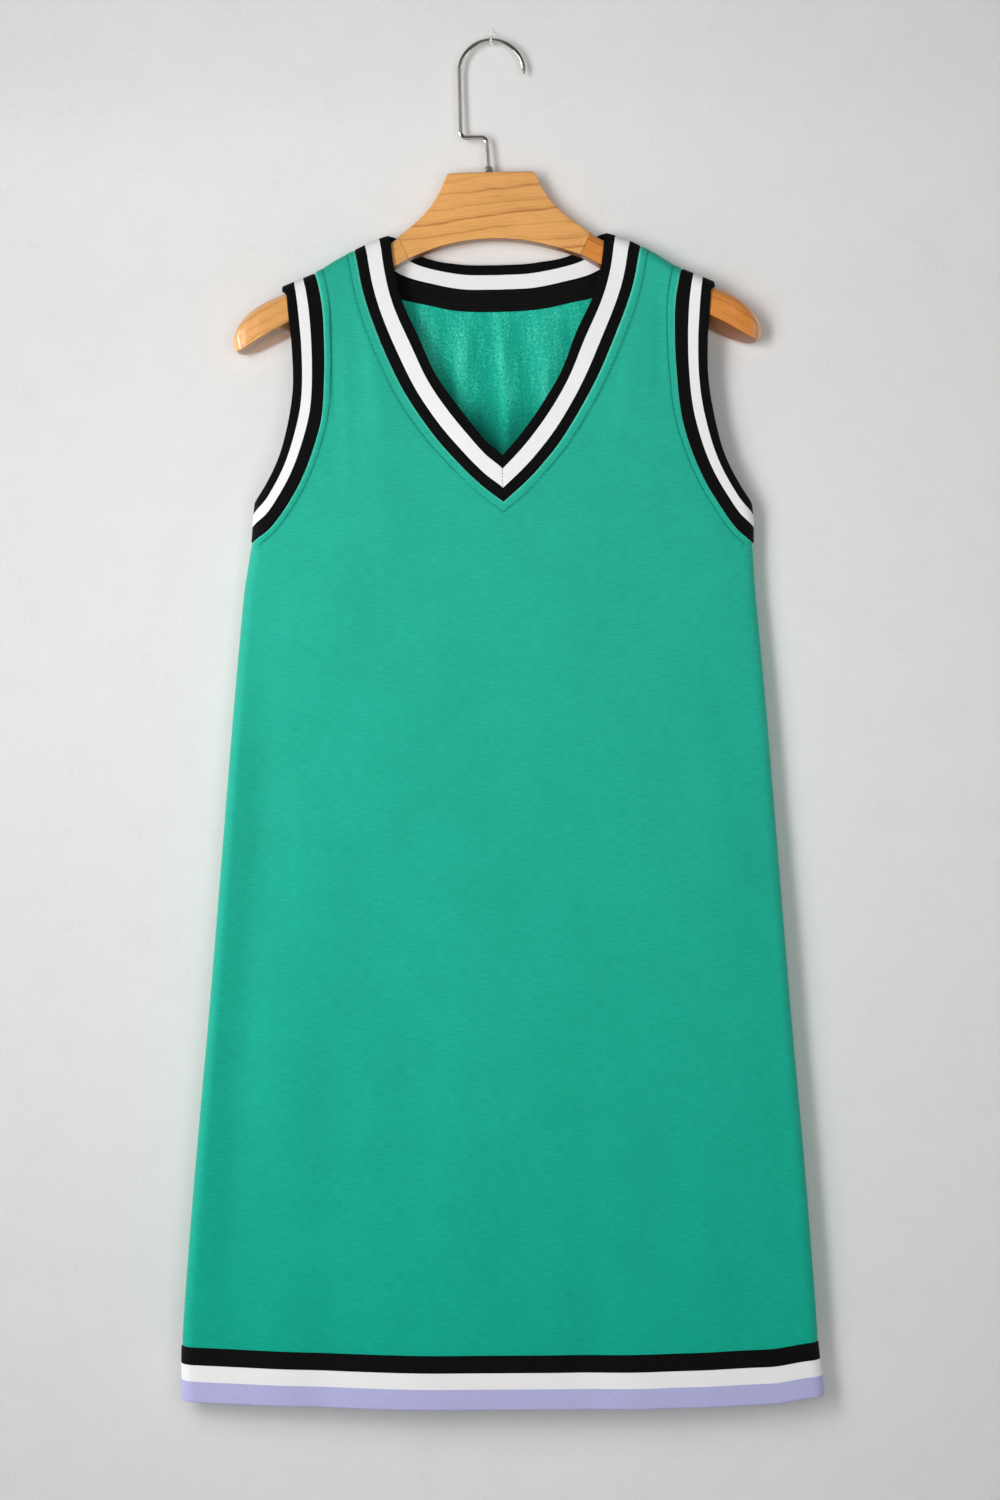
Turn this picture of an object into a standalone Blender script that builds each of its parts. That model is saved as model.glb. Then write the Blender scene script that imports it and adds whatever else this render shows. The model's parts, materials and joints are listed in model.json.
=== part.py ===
"""A sleeveless V-neck shift dress in green French terry, hung on a wooden clothes hanger.

Metres, +Z up. The front of the dress faces -Y. The origin is the underside of the hook's
top, where the hook rests on its peg.

The cloth is a flattened tube. All its pieces lie on one smooth form, `cloth_point`, and are
drawn on it as a pattern of (x, run): x is the distance across from the middle of the dress,
and run is the distance down the cloth from the shoulder fold, positive on the front and
negative on the back.
"""

import math
from collections import namedtuple

import bpy
import numpy as np

MM = 0.001

# Cloth
PANEL_HALF_WALL = 0.8 * MM
BAND_HALF_WALL = 1.2 * MM
TAPE_WALL = 1.0 * MM
LAY_GAP = 0.3 * MM
SEAM_HALF_GAP = 0.25 * MM

# Form of the tube: a quarter round at each side fold and over the shoulders
SIDE_ROLL = 9.0 * MM
SHOULDER_RISE = 10.0 * MM
SHOULDER_RUN = 18.0 * MM
SETTLE = 120.0 * MM  # below the shoulder the cloth takes this long to reach its own depth

# The hanger leans on its peg, and the shoulders of the dress lean with it
TILT = math.radians(1.3)
LEAN_TOP_Z = -365.0 * MM
LEAN_BOTTOM_Z = -445.0 * MM
SHOULDER_SHIFT = 1.5 * MM
BODY_SHIFT = 7.2 * MM
HEM_SWAY = 2.3 * MM  # the hem band swings this much to the right, from its seam to its edge

# Bands: shares of their width, from the free edge to the seam, at which the knit colour changes
NECK_STRIPES = (0.0, 0.285, 0.715, 1.0)
ARM_STRIPES = (0.0, 0.30, 0.61, 1.0)
HEM_STRIPES = (0.0, 0.39, 0.68, 1.0)
TAPE_WIDTH = 17.5 * MM
TAPE_ABOVE_SEAM = 8.0 * MM
TAPE_REACH = 0.9  # share of the back neck's half length, short of the shoulder's round

Body = namedtuple("Body", "z half_width front_depth back_depth")
BODY = (
    Body(-1086.0, 255.0, 23.0, 17.0),
    Body(-1039.0, 252.8, 23.0, 17.0),
    Body(-924.0, 244.6, 22.0, 16.5),
    Body(-764.0, 230.6, 21.5, 16.0),
    Body(-605.0, 217.7, 21.5, 15.5),
    Body(-525.0, 211.2, 21.5, 15.5),
    Body(-445.0, 203.9, 21.0, 15.0),
    Body(-400.0, 199.3, 21.0, 15.0),
    Body(-368.4, 197.3, 21.0, 15.0),
    Body(-353.0, 192.0, 20.5, 15.0),
    Body(-328.0, 192.0, 20.0, 15.0),
    Body(-298.0, 196.0, 19.5, 15.0),
    Body(-241.0, 202.0, 19.0, 15.0),
    Body(-140.0, 210.0, 19.0, 15.0),
)

# The shoulder fold: its height, and how far the cloth stands off the hanger's middle plane
Shoulder = namedtuple("Shoulder", "x top front_reach back_reach")
SHOULDER = (
    Shoulder(0.0, -147.0, 11.5, 12.0),
    Shoulder(50.0, -148.5, 11.5, 12.0),
    Shoulder(86.0, -156.0, 12.0, 12.5),
    Shoulder(114.3, -168.4, 13.8, 14.5),
    Shoulder(146.7, -184.0, 17.2, 17.8),
    Shoulder(171.5, -194.4, 18.8, 19.2),
    Shoulder(215.0, -211.0, 19.0, 19.5),
)

# Edges, each from its lowest point up towards the shoulder fold
Spot = namedtuple("Spot", "x z")
NECK_OPENING_FRONT = (
    Spot(0.0, -332.0),
    Spot(14.8, -315.3),
    Spot(32.7, -291.7),
    Spot(50.6, -264.5),
    Spot(63.3, -237.4),
    Spot(76.5, -208.9),
    Spot(82.5, -182.8),
)
NECK_SEAM_FRONT = (
    Spot(0.0, -367.9),
    Spot(15.8, -354.2),
    Spot(28.0, -341.9),
    Spot(46.7, -319.0),
    Spot(65.2, -290.7),
    Spot(82.3, -261.7),
    Spot(96.2, -232.7),
    Spot(106.5, -202.0),
)
NECK_OPENING_BACK = (Spot(0.0, -175.6), Spot(30.0, -174.3), Spot(60.0, -168.3))
NECK_SEAM_BACK = (Spot(0.0, -203.6), Spot(36.0, -202.0), Spot(72.0, -195.0), Spot(98.0, -183.0))
NECK_OPENING_FOLD = 86.0 * MM
NECK_SEAM_FOLD = 114.3 * MM

ARM_OPENING = (
    Spot(197.3, -368.4),
    Spot(187.6, -353.3),
    Spot(176.0, -328.4),
    Spot(168.2, -298.0),
    Spot(164.5, -270.6),
    Spot(164.8, -241.5),
    Spot(166.5, -222.0),
)
ARM_SEAM = (
    Spot(199.3, -399.9),
    Spot(184.8, -388.3),
    Spot(170.5, -368.8),
    Spot(158.6, -347.7),
    Spot(148.7, -322.7),
    Spot(142.3, -298.2),
    Spot(139.7, -268.3),
    Spot(139.1, -241.5),
    Spot(140.4, -209.6),
)
ARM_OPENING_FOLD = 171.5 * MM
ARM_SEAM_FOLD = 146.7 * MM

HEM_SEAM_SIDE_Z = -1038.8 * MM
HEM_EDGE_SIDE_Z = -1082.2 * MM
HEM_SEAM_DIP = 3.8 * MM
HEM_EDGE_DIP = 3.2 * MM

# Broad soft folds of the cloth: share of the depth they take (a trough is negative). A fold
# whose bottom lies below the hem runs out through it.
Fold = namedtuple("Fold", "side x top bottom slant width height")
FOLDS = (
    Fold("front", -172.0, -430.0, -1200.0, -0.05, 26.0, -0.10),
    Fold("front", 176.0, -450.0, -1200.0, 0.05, 24.0, -0.08),
    Fold("front", -112.0, -200.0, -470.0, 0.10, 20.0, 0.06),
    Fold("front", 92.0, -760.0, -1200.0, 0.06, 42.0, 0.07),
    Fold("front", -70.0, -820.0, -1200.0, -0.04, 46.0, 0.06),
    Fold("back", -96.0, -300.0, -1200.0, -0.07, 38.0, -0.16),
    Fold("back", 18.0, -215.0, -760.0, 0.02, 30.0, -0.14),
    Fold("back", 104.0, -340.0, -1200.0, 0.08, 40.0, -0.15),
    Fold("back", -28.0, -640.0, -1200.0, -0.02, 44.0, 0.12),
)
FOLD_GROWTH = 0.25  # share of its length over which a fold rises or dies away

# Grid of the cloth. Stations are the places along an edge below the shoulder's round, and
# they are followed by one at each run of FOLD_RUNS.
COLUMNS = 15
BODY_ROWS = 13
NECK_STATIONS = {"front": 14, "back": 8}
ARM_STATIONS = 20
NECK_CROWDING = 1.0  # even spacing
ARM_CROWDING = 1.4  # stations closer together towards the underarm
FOLD_RUNS = np.array((13.0, 8.5, 4.0, 0.0)) * MM
TAPE_STATIONS = 12
EDGE_SAMPLES = 240
NORMAL_STEP = 0.02 * MM
SHARP_ANGLE = math.radians(50)

# Hanger, in its own upright frame
WIRE_RADIUS = 1.75 * MM
HOOK_RADIUS = 25.8 * MM
CRANK_Z = -76.0 * MM
CRANK_BEND = 4.6 * MM
STEM_X = -4.0 * MM
STEM_FOOT_Z = -122.0 * MM
STEM_CLEARANCE = 0.3 * MM
COLLAR_RADIUS = 3.6 * MM
COLLAR_HEIGHT = 5.0 * MM
COLLAR_SHOULDER = 0.55  # share of the collar's height at which it starts to taper
COLLAR_TOP = 0.72  # share of the collar's radius that is left at its top
BOARD_TOP_Z = -104.5 * MM
JOINT_GAP = 0.3 * MM
ROUND_SIDES = 24
BEND_STEPS = 5
HOOK_STEPS = 20

# The wood isn't quite centred on the hook: the board sits to its left, the arm ends less so
OffCentre = namedtuple("OffCentre", "x shift")
OFF_CENTRE = (OffCentre(40.0, -2.5), OffCentre(76.0, -0.7))

# Ribs of the hanger, each a cut through the wood from its top edge to its lower edge. depth is
# half the thickness, crown_y and crown_z the rounding of its top, corner that of its foot, and
# slant how much lower the back of the underside lies than its front.
Rib = namedtuple("Rib", "top_x top_z foot_x foot_z depth crown_y crown_z corner slant")
BOARD_RIBS = (
    Rib(0.0, -104.5, 0.0, -157.8, 7.0, 2.4, 2.4, 2.0, 0.0),
    Rib(17.0, -104.5, 11.0, -158.2, 7.0, 2.4, 2.4, 2.0, 0.0),
    Rib(31.0, -104.6, 21.0, -159.2, 7.0, 2.4, 2.4, 2.0, 0.0),
    Rib(34.6, -105.7, 28.0, -160.3, 7.0, 2.4, 2.4, 2.0, 0.0),
    Rib(36.6, -109.2, 33.0, -161.3, 7.0, 2.4, 2.4, 2.0, 0.0),
    Rib(40.4, -117.8, 40.0, -162.9, 7.0, 2.4, 2.4, 2.0, 0.0),
    Rib(46.8, -128.0, 47.0, -164.9, 7.0, 2.4, 2.4, 2.0, 0.0),
    Rib(54.6, -136.8, 54.0, -167.1, 7.0, 2.4, 2.4, 2.0, 0.0),
    Rib(65.0, -145.8, 61.0, -169.4, 7.0, 2.4, 2.4, 2.0, 0.0),
    Rib(76.6, -154.1, 68.3, -172.0, 7.0, 4.6, 3.8, 2.0, 0.0),
)
ARM_RIBS = (
    Rib(76.6, -154.1, 68.3, -172.0, 7.0, 4.6, 3.8, 2.0, 0.0),
    Rib(80.0, -156.9, 73.0, -174.4, 7.2, 6.6, 5.4, 2.1, 0.1),
    Rib(87.4, -160.4, 81.0, -179.2, 8.0, 8.0, 6.4, 2.2, 0.4),
    Rib(100.0, -165.8, 93.5, -186.2, 9.3, 9.3, 7.6, 2.4, 1.2),
    Rib(115.0, -171.4, 108.0, -193.8, 10.9, 10.9, 8.4, 2.6, 2.2),
    Rib(131.0, -178.9, 124.0, -202.2, 12.7, 12.7, 8.6, 2.8, 3.4),
    Rib(147.0, -187.0, 140.0, -211.0, 14.4, 14.4, 8.8, 3.0, 4.4),
    Rib(160.0, -193.2, 153.0, -218.4, 15.6, 15.6, 9.0, 3.0, 5.2),
    Rib(172.0, -199.0, 165.0, -224.8, 16.2, 16.2, 9.2, 3.0, 5.4),
    Rib(182.0, -203.0, 176.0, -230.2, 16.4, 16.4, 9.4, 3.0, 5.2),
    Rib(191.0, -208.0, 186.0, -235.4, 15.8, 15.8, 9.6, 3.0, 4.6),
    Rib(199.5, -214.6, 195.0, -239.8, 13.8, 13.8, 9.6, 3.2, 3.4),
    Rib(206.2, -222.4, 202.0, -242.6, 10.4, 10.4, 8.4, 3.2, 2.0),
    Rib(209.6, -230.0, 206.4, -243.0, 5.6, 5.6, 5.4, 2.6, 0.8),
)
CORNER_STEPS = 4

FRONT = 1
BACK = -1
SIDE_NAMES = {FRONT: "front", BACK: "back"}

GREEN = ("green_terry", (0.020, 0.400, 0.290), 0.85, 0.0)
BLACK = ("black_rib", (0.006, 0.006, 0.006), 0.9, 0.0)
WHITE = ("white_rib", (0.80, 0.80, 0.79), 0.85, 0.0)
LILAC = ("lilac_rib", (0.38, 0.38, 0.62), 0.85, 0.0)
BOARD_WOOD = ("pale_varnished_wood", (0.72, 0.36, 0.12), 0.35, 0.0)
ARM_WOOD = ("amber_varnished_wood", (0.66, 0.28, 0.08), 0.32, 0.0)
NICKEL = ("nickel_wire", (0.62, 0.59, 0.55), 0.25, 1.0)


def clear_scene():
    for old in list(bpy.data.objects):
        bpy.data.objects.remove(old, do_unlink=True)


def material(spec):
    name, colour, roughness, metallic = spec
    found = bpy.data.materials.get(name)
    if found:
        return found
    made = bpy.data.materials.new(name)
    made.use_nodes = True
    shader = made.node_tree.nodes["Principled BSDF"]
    shader.inputs["Base Color"].default_value = (*colour, 1.0)
    shader.inputs["Roughness"].default_value = roughness
    shader.inputs["Metallic"].default_value = metallic
    made.diffuse_color = (*colour, 1.0)
    return made


def profile(rows, column):
    """A smooth function of a table's first column (both in mm), without overshoot."""
    rows = sorted(rows, key=lambda row: row[0])
    xs = np.array([row[0] for row in rows]) * MM
    ys = np.array([getattr(row, column) for row in rows]) * MM
    steps = np.diff(xs)
    slopes = np.diff(ys) / steps
    tangents = np.zeros(len(xs))
    tangents[0], tangents[-1] = slopes[0], slopes[-1]
    for i in range(1, len(xs) - 1):
        if slopes[i - 1] * slopes[i] > 0:
            before = 2 * steps[i] + steps[i - 1]
            after = steps[i] + 2 * steps[i - 1]
            tangents[i] = (before + after) / (before / slopes[i - 1] + after / slopes[i])

    def value(x):
        x = min(max(x, xs[0]), xs[-1])
        i = min(int(np.searchsorted(xs, x, side="right")) - 1, len(steps) - 1)
        t = (x - xs[i]) / steps[i]
        return (
            (1 + 2 * t) * (1 - t) ** 2 * ys[i]
            + t * (1 - t) ** 2 * steps[i] * tangents[i]
            + t * t * (3 - 2 * t) * ys[i + 1]
            + t * t * (t - 1) * steps[i] * tangents[i + 1]
        )

    return value


half_width = profile(BODY, "half_width")
body_depth = {FRONT: profile(BODY, "front_depth"), BACK: profile(BODY, "back_depth")}
shoulder_top = profile(SHOULDER, "top")
shoulder_reach = {
    FRONT: profile(SHOULDER, "front_reach"),
    BACK: profile(SHOULDER, "back_reach"),
}


def ease(t):
    t = min(max(t, 0.0), 1.0)
    return t * t * (3 - 2 * t)


def quarter_round(t):
    """Square of a quarter circle's height at the share t of its radius from the edge."""
    return t * (2 - t) if t < 1 else 1.0


def fold_share(x, z, side):
    """How much the broad folds add to the cloth's depth, as a share of it."""
    total = 0.0
    for fold in FOLDS:
        if fold.side != SIDE_NAMES[side]:
            continue
        length = (fold.top - fold.bottom) * MM
        along = (fold.top * MM - z) / length
        if not 0 < along < 1:
            continue
        middle = fold.x * MM + fold.slant * (fold.top * MM - z)
        across = (x - middle) / (fold.width * MM)
        strength = ease(along / FOLD_GROWTH) * ease((1 - along) / FOLD_GROWTH)
        total += fold.height * strength * math.exp(-across * across)
    return total


def depth_squared(x, z, side):
    """Square of the cloth's distance from the tube's middle plane."""
    across = abs(x)
    width = half_width(z)
    inset = width - across
    full = body_depth[side](z)
    tube = SIDE_ROLL**2 * quarter_round(inset / SIDE_ROLL)
    tube += (full**2 - SIDE_ROLL**2) * quarter_round(inset / width)
    drop = shoulder_top(across) - z
    settled = ease(drop / SETTLE)
    reach = shoulder_reach[side](across)
    square = settled * tube + (1 - settled) * reach**2
    return square * quarter_round(drop / SHOULDER_RISE) * (1 + fold_share(x, z, side)) ** 2


def height_at(x, run):
    """Height of the cloth at a distance run down from the shoulder fold."""
    run = abs(run)
    if run < SHOULDER_RUN:
        drop = SHOULDER_RISE * (1 - math.cos(run / SHOULDER_RUN * math.pi / 2))
    else:
        drop = SHOULDER_RISE + run - SHOULDER_RUN
    return shoulder_top(abs(x)) - drop


def run_at(x, z):
    """Distance down from the shoulder fold to a height below the fold's round."""
    return shoulder_top(abs(x)) - SHOULDER_RISE - z + SHOULDER_RUN


def lean(point):
    """The upper dress leans with the hanger, and the skirt hangs straight below it."""
    x, y, z = point
    share = ease((z - LEAN_BOTTOM_Z) / (LEAN_TOP_Z - LEAN_BOTTOM_Z))
    leaning = tilted((x + SHOULDER_SHIFT, y, z))
    sway = HEM_SWAY * ease((HEM_SEAM_SIDE_Z - z) / (HEM_SEAM_SIDE_Z - HEM_EDGE_SIDE_Z))
    hanging = np.array((x + BODY_SHIFT + sway, y, z))
    return share * leaning + (1 - share) * hanging


def tilted(point):
    """A point of the upright hanger, turned to the lean that it hangs with."""
    x, y, z = point
    sine, cosine = math.sin(TILT), math.cos(TILT)
    return np.array((x * cosine - z * sine, y, x * sine + z * cosine))


def cloth_point(spot, off):
    """The point of the cloth's form at a pattern spot, moved out by off along its normal."""
    x, run = spot
    side = BACK if run < 0 else FRONT
    z = height_at(x, run)
    y = -side * math.sqrt(max(depth_squared(x, z, side), 0.0))
    step = NORMAL_STEP
    slope_x = depth_squared(x + step, z, side) - depth_squared(x - step, z, side)
    slope_z = depth_squared(x, z + step, side) - depth_squared(x, z - step, side)
    normal = np.array((-slope_x / (2 * step), 2 * y, -slope_z / (2 * step)))
    normal /= np.linalg.norm(normal)
    return lean(np.array((x, y, z)) + off * normal)


# Edges of the pattern


def smooth_line(points, samples):
    """A Catmull-Rom curve through points of the pattern, as that many samples."""
    points = np.array(points)
    padded = np.vstack((2 * points[0] - points[1], points, 2 * points[-1] - points[-2]))
    found = []
    for share in np.linspace(0, len(points) - 1, samples):
        i = min(int(share), len(points) - 2)
        t = share - i
        a, b, c, d = padded[i : i + 4]
        found.append(
            0.5 * (2 * b + (c - a) * t + (2 * a - 5 * b + 4 * c - d) * t * t)
            + 0.5 * (3 * b - a - 3 * c + d) * t**3
        )
    return np.array(found)


def stations_along(line, count, crowding):
    """Spots of a pattern line at equal distances along the real cloth, or crowded at its start."""
    points = np.array([cloth_point(spot, 0.0) for spot in line])
    length = np.concatenate(([0.0], np.cumsum(np.linalg.norm(np.diff(points, axis=0), axis=1))))
    wanted = length[-1] * np.linspace(0.0, 1.0, count) ** crowding
    return np.column_stack([np.interp(wanted, length, line[:, k]) for k in (0, 1)])


def edge(rows, fold_x, side, count, crowding):
    """Stations of an edge, from its lowest point up to the shoulder fold."""
    points = [(row.x * MM, run_at(row.x * MM, row.z * MM)) for row in rows]
    line = smooth_line(points + [(fold_x, 0.0)], EDGE_SAMPLES)
    round_x = np.interp(FOLD_RUNS, line[::-1, 1], line[::-1, 0])
    straight = finer_start(line[line[:, 1] > SHOULDER_RUN])
    stations = stations_along(straight, count, crowding)
    stations = np.vstack((stations, np.column_stack((round_x, FOLD_RUNS))))
    stations[:, 1] *= side
    return stations


def finer_start(line):
    """More samples at an edge's lowest point, where an armhole sets out from the side fold."""
    share = np.linspace(0, 1, 2 * len(line)) ** 2 * (len(line) - 1)
    index = np.arange(len(line))
    return np.column_stack([np.interp(share, index, line[:, k]) for k in (0, 1)])


def between(free_edge, seam, share):
    """Spots across a band: share 0 is its free edge, 1 its seam."""
    return free_edge + share * (seam - free_edge)


def neck_edges(side):
    """Free edge and seam of the neckband's right half on one side, up to the fold."""
    if side == FRONT:
        opening, seam = NECK_OPENING_FRONT, NECK_SEAM_FRONT
    else:
        opening, seam = NECK_OPENING_BACK, NECK_SEAM_BACK
    count = NECK_STATIONS[SIDE_NAMES[side]]
    return (
        edge(opening, NECK_OPENING_FOLD, side, count, NECK_CROWDING),
        edge(seam, NECK_SEAM_FOLD, side, count, NECK_CROWDING),
    )


def arm_edges(side):
    """Free edge and seam of the right armhole band on one side, up to the fold."""
    return (
        edge(ARM_OPENING, ARM_OPENING_FOLD, side, ARM_STATIONS, ARM_CROWDING),
        edge(ARM_SEAM, ARM_SEAM_FOLD, side, ARM_STATIONS, ARM_CROWDING),
    )


def past_seam(free_edge, seam, distance):
    """Spots a short distance beyond the seam, on the panel's side of it."""
    away = seam - free_edge
    return seam + away / np.linalg.norm(away, axis=1)[:, None] * distance


def mirrored(spots):
    return spots * np.array((-1.0, 1.0))


# Meshes


def mesh_object(name, points, faces, specs, face_slots=None):
    mesh = bpy.data.meshes.new(name)
    mesh.from_pydata([tuple(point) for point in points], [], faces)
    for spec in specs:
        mesh.materials.append(material(spec))
    if face_slots is not None:
        mesh.polygons.foreach_set("material_index", face_slots)
    mesh.validate()
    mesh.shade_smooth()
    mesh.set_sharp_from_angle(angle=SHARP_ANGLE)
    made = bpy.data.objects.new(name, mesh)
    bpy.context.scene.collection.objects.link(made)
    return made


def wall(name, spots, quads, outer, inner, specs, quad_slots=None):
    """A closed wall of cloth: its pattern quads moved out to both faces, and its edges closed."""
    count = len(spots)
    points = [cloth_point(spot, outer) for spot in spots]
    points += [cloth_point(spot, inner) for spot in spots]
    slots = list(quad_slots) if quad_slots is not None else [0] * len(quads)
    faces = [tuple(quad) for quad in quads]
    faces += [tuple(corner + count for corner in reversed(quad)) for quad in quads]
    rim = {}
    for quad, slot in zip(quads, slots):
        for start, end in zip(quad, quad[1:] + quad[:1]):
            if rim.pop((end, start), None) is None:
                rim[(start, end)] = slot
    faces += [(end, start, start + count, end + count) for start, end in rim]
    return mesh_object(name, points, faces, specs, slots * 2 + list(rim.values()))


def grid_quads(rows, columns, index, closed=False):
    """Quads of a grid of spots. index gives a spot's number from its row and column."""
    quads = []
    for row in range(rows if closed else rows - 1):
        above = (row + 1) % rows
        for column in range(columns - 1):
            quads.append(
                (index(row, column), index(row, column + 1), index(above, column + 1), index(above, column))
            )
    return quads


def band(name, rings, specs, facing, half_wall=BAND_HALF_WALL):
    """A closed band: one ring of spots for each colour change, from the free edge to the seam."""
    count = len(rings[0])
    spots = np.concatenate(rings)
    quads = grid_quads(count, len(rings), lambda row, column: column * count + row, closed=True)
    quads = [quad if facing > 0 else quad[::-1] for quad in quads]
    slots = [column for _ in range(count) for column in range(len(rings) - 1)]
    return wall(name, spots, quads, half_wall, -half_wall, specs, slots)


def band_rings(free_edge, seam, stripes):
    """Spots along each colour change of a band, the last of them just short of its seam."""
    rings = [between(free_edge, seam, share) for share in stripes[:-1]]
    return rings + [past_seam(free_edge, seam, -SEAM_HALF_GAP)]


def half_loop(free_parts, seam_parts, stripes):
    """Rings of one half of a band that crosses the shoulder, from its back up and down its front."""
    back = band_rings(free_parts[BACK], seam_parts[BACK], stripes)
    front = band_rings(free_parts[FRONT], seam_parts[FRONT], stripes)
    return [np.concatenate((b[:-1], f[::-1])) for b, f in zip(back, front)]


def build_neckband():
    free_parts, seam_parts = {}, {}
    for side in (FRONT, BACK):
        free_parts[side], seam_parts[side] = neck_edges(side)
    right = half_loop(free_parts, seam_parts, NECK_STRIPES)
    rings = [np.concatenate((ring, mirrored(ring[::-1])[1:-1])) for ring in right]
    band("neckband", rings, (BLACK, WHITE, BLACK), facing=-1)


def build_armbands():
    free_parts, seam_parts = {}, {}
    for side in (FRONT, BACK):
        free_parts[side], seam_parts[side] = arm_edges(side)
    rings = [ring[:-1] for ring in half_loop(free_parts, seam_parts, ARM_STRIPES)]
    for ring in rings:
        ring[0, 0] = half_width(height_at(*ring[0]))
    band("armband_right", rings, (BLACK, WHITE, BLACK), facing=1)
    band("armband_left", [mirrored(ring) for ring in rings], (BLACK, WHITE, BLACK), facing=-1)


def across_shares(count):
    """Shares of a half width, closer together towards the side fold."""
    return np.sin(np.linspace(0, math.pi / 2, count))


def hem_z(share, across):
    """Height of the hem band at a share of its width up from its free edge."""
    edge_z = HEM_EDGE_SIDE_Z - HEM_EDGE_DIP * (1 - across**2)
    seam_z = HEM_SEAM_SIDE_Z - HEM_SEAM_DIP * (1 - across**2)
    return edge_z + share * (seam_z - edge_z)


def build_hem_band():
    shares = across_shares(COLUMNS)
    stripes = HEM_STRIPES[:-1] + (1 - SEAM_HALF_GAP / (HEM_SEAM_SIDE_Z - HEM_EDGE_SIDE_Z),)
    rings = []
    for stripe in stripes:
        quarter = []
        for share in shares:
            z = hem_z(stripe, share)
            x = share * half_width(z)
            quarter.append((x, run_at(x, z)))
        quarter = np.array(quarter)
        behind = quarter[::-1][1:] * np.array((1.0, -1.0))
        half = np.concatenate((quarter, behind))
        rings.append(np.concatenate((half, mirrored(half[::-1])[1:-1])))
    band("hem_band", rings, (LILAC, WHITE, BLACK), facing=-1)


def build_panel(name, side):
    """A panel from its hem seam up to its shoulder seam: rows of its right half, and their mirror."""
    neck = past_seam(*neck_edges(side), SEAM_HALF_GAP)
    arm = past_seam(*arm_edges(side), SEAM_HALF_GAP)
    neck[-1, 1] = arm[-1, 1] = side * SEAM_HALF_GAP
    arm_z = height_at(*arm[0])
    arm[0] = (side_seam_x(arm_z), side * run_at(side_seam_x(arm_z), arm_z))
    neck_z = height_at(*neck[0])
    shares = across_shares(COLUMNS)
    below_neck = len(arm) - len(neck)
    rows = [body_row(t, arm_z, shares, side) for t in np.linspace(0, 1, BODY_ROWS, endpoint=False)]
    for i in range(below_neck):
        z = arm_z + (neck_z - arm_z) * i / below_neck
        rows.append(straight_row((0.0, side * run_at(0.0, z)), arm[i], shares, side))
    first_open = len(rows) + 1
    below_fold = len(neck) - len(FOLD_RUNS)
    for i, (neck_spot, arm_spot) in enumerate(zip(neck, arm[below_neck:])):
        if i < below_fold:
            rows.append(straight_row(neck_spot, arm_spot, shares, side))
        else:
            rows.append([neck_spot + share * (arm_spot - neck_spot) for share in shares])
    spots, quads = halves_joined(rows, first_open)
    quads = [quad if side == FRONT else quad[::-1] for quad in quads]
    wall(name, spots, quads, PANEL_HALF_WALL, -PANEL_HALF_WALL, (GREEN,))


def body_row(t, top_z, shares, side):
    """Spots across the skirt, at the share t of the way from its hem seam up to top_z."""
    row = []
    for share in shares:
        bottom = hem_z(1 + SEAM_HALF_GAP / (HEM_SEAM_SIDE_Z - HEM_EDGE_SIDE_Z), share)
        z = bottom + t * (top_z - bottom)
        x = min(share * half_width(z), side_seam_x(z))
        row.append((x, side * run_at(x, z)))
    return row


def side_seam_x(z):
    """Where a panel stops at the side fold, half a seam gap short of it."""
    return half_width(z) - SEAM_HALF_GAP**2 / (2 * SIDE_ROLL)


def straight_row(start, end, shares, side):
    """Spots between two edges, on a line that is straight as seen from the front."""
    start_z = height_at(*start)
    end_z = height_at(*end)
    row = []
    for share in shares:
        z = start_z + share * (end_z - start_z)
        x = min(start[0] + share * (end[0] - start[0]), side_seam_x(z))
        row.append((x, side * run_at(x, z)))
    return row


def halves_joined(rows, first_open):
    """Spots and quads of a whole panel. Its halves share the middle below the row first_open."""
    spots, number = [], {}
    for half in (1, -1):
        for i, row in enumerate(rows):
            for j, (x, run) in enumerate(row):
                if half < 0 and j == 0 and i < first_open:
                    number[half, i, j] = number[1, i, j]
                    continue
                number[half, i, j] = len(spots)
                spots.append((half * x, run))
    quads = grid_quads(len(rows), len(rows[0]), lambda i, j: number[1, i, j])
    left = grid_quads(len(rows), len(rows[0]), lambda i, j: number[-1, i, j])
    return spots, quads + [quad[::-1] for quad in left]


def build_neck_tape():
    """A tape that lies inside the back of the neck, over the seam of the band."""
    free_edge, seam = neck_edges(BACK)
    away = seam - free_edge
    away /= np.linalg.norm(away, axis=1)[:, None]
    lines = []
    for offset in (-TAPE_ABOVE_SEAM, TAPE_WIDTH / 2 - TAPE_ABOVE_SEAM, TAPE_WIDTH - TAPE_ABOVE_SEAM):
        line = (seam + away * offset)[: NECK_STATIONS["back"]]
        index = np.linspace(0, TAPE_REACH * (len(line) - 1), TAPE_STATIONS)
        half = np.column_stack([np.interp(index, np.arange(len(line)), line[:, k]) for k in (0, 1)])
        lines.append(np.concatenate((mirrored(half[::-1])[:-1], half)))
    count = len(lines[0])
    quads = grid_quads(count, len(lines), lambda row, column: column * count + row)
    quads = [quad[::-1] for quad in quads]
    outside = -(BAND_HALF_WALL + LAY_GAP)
    wall("neck_tape", np.concatenate(lines), quads, outside, outside - TAPE_WALL, (BLACK,))


# Hanger


def off_centre(x):
    """How far the wood lies off the hook's middle, at a distance x out from its own."""
    rows = np.array(OFF_CENTRE) * MM
    return float(np.interp(x, rows[:, 0], rows[:, 1]))


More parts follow.
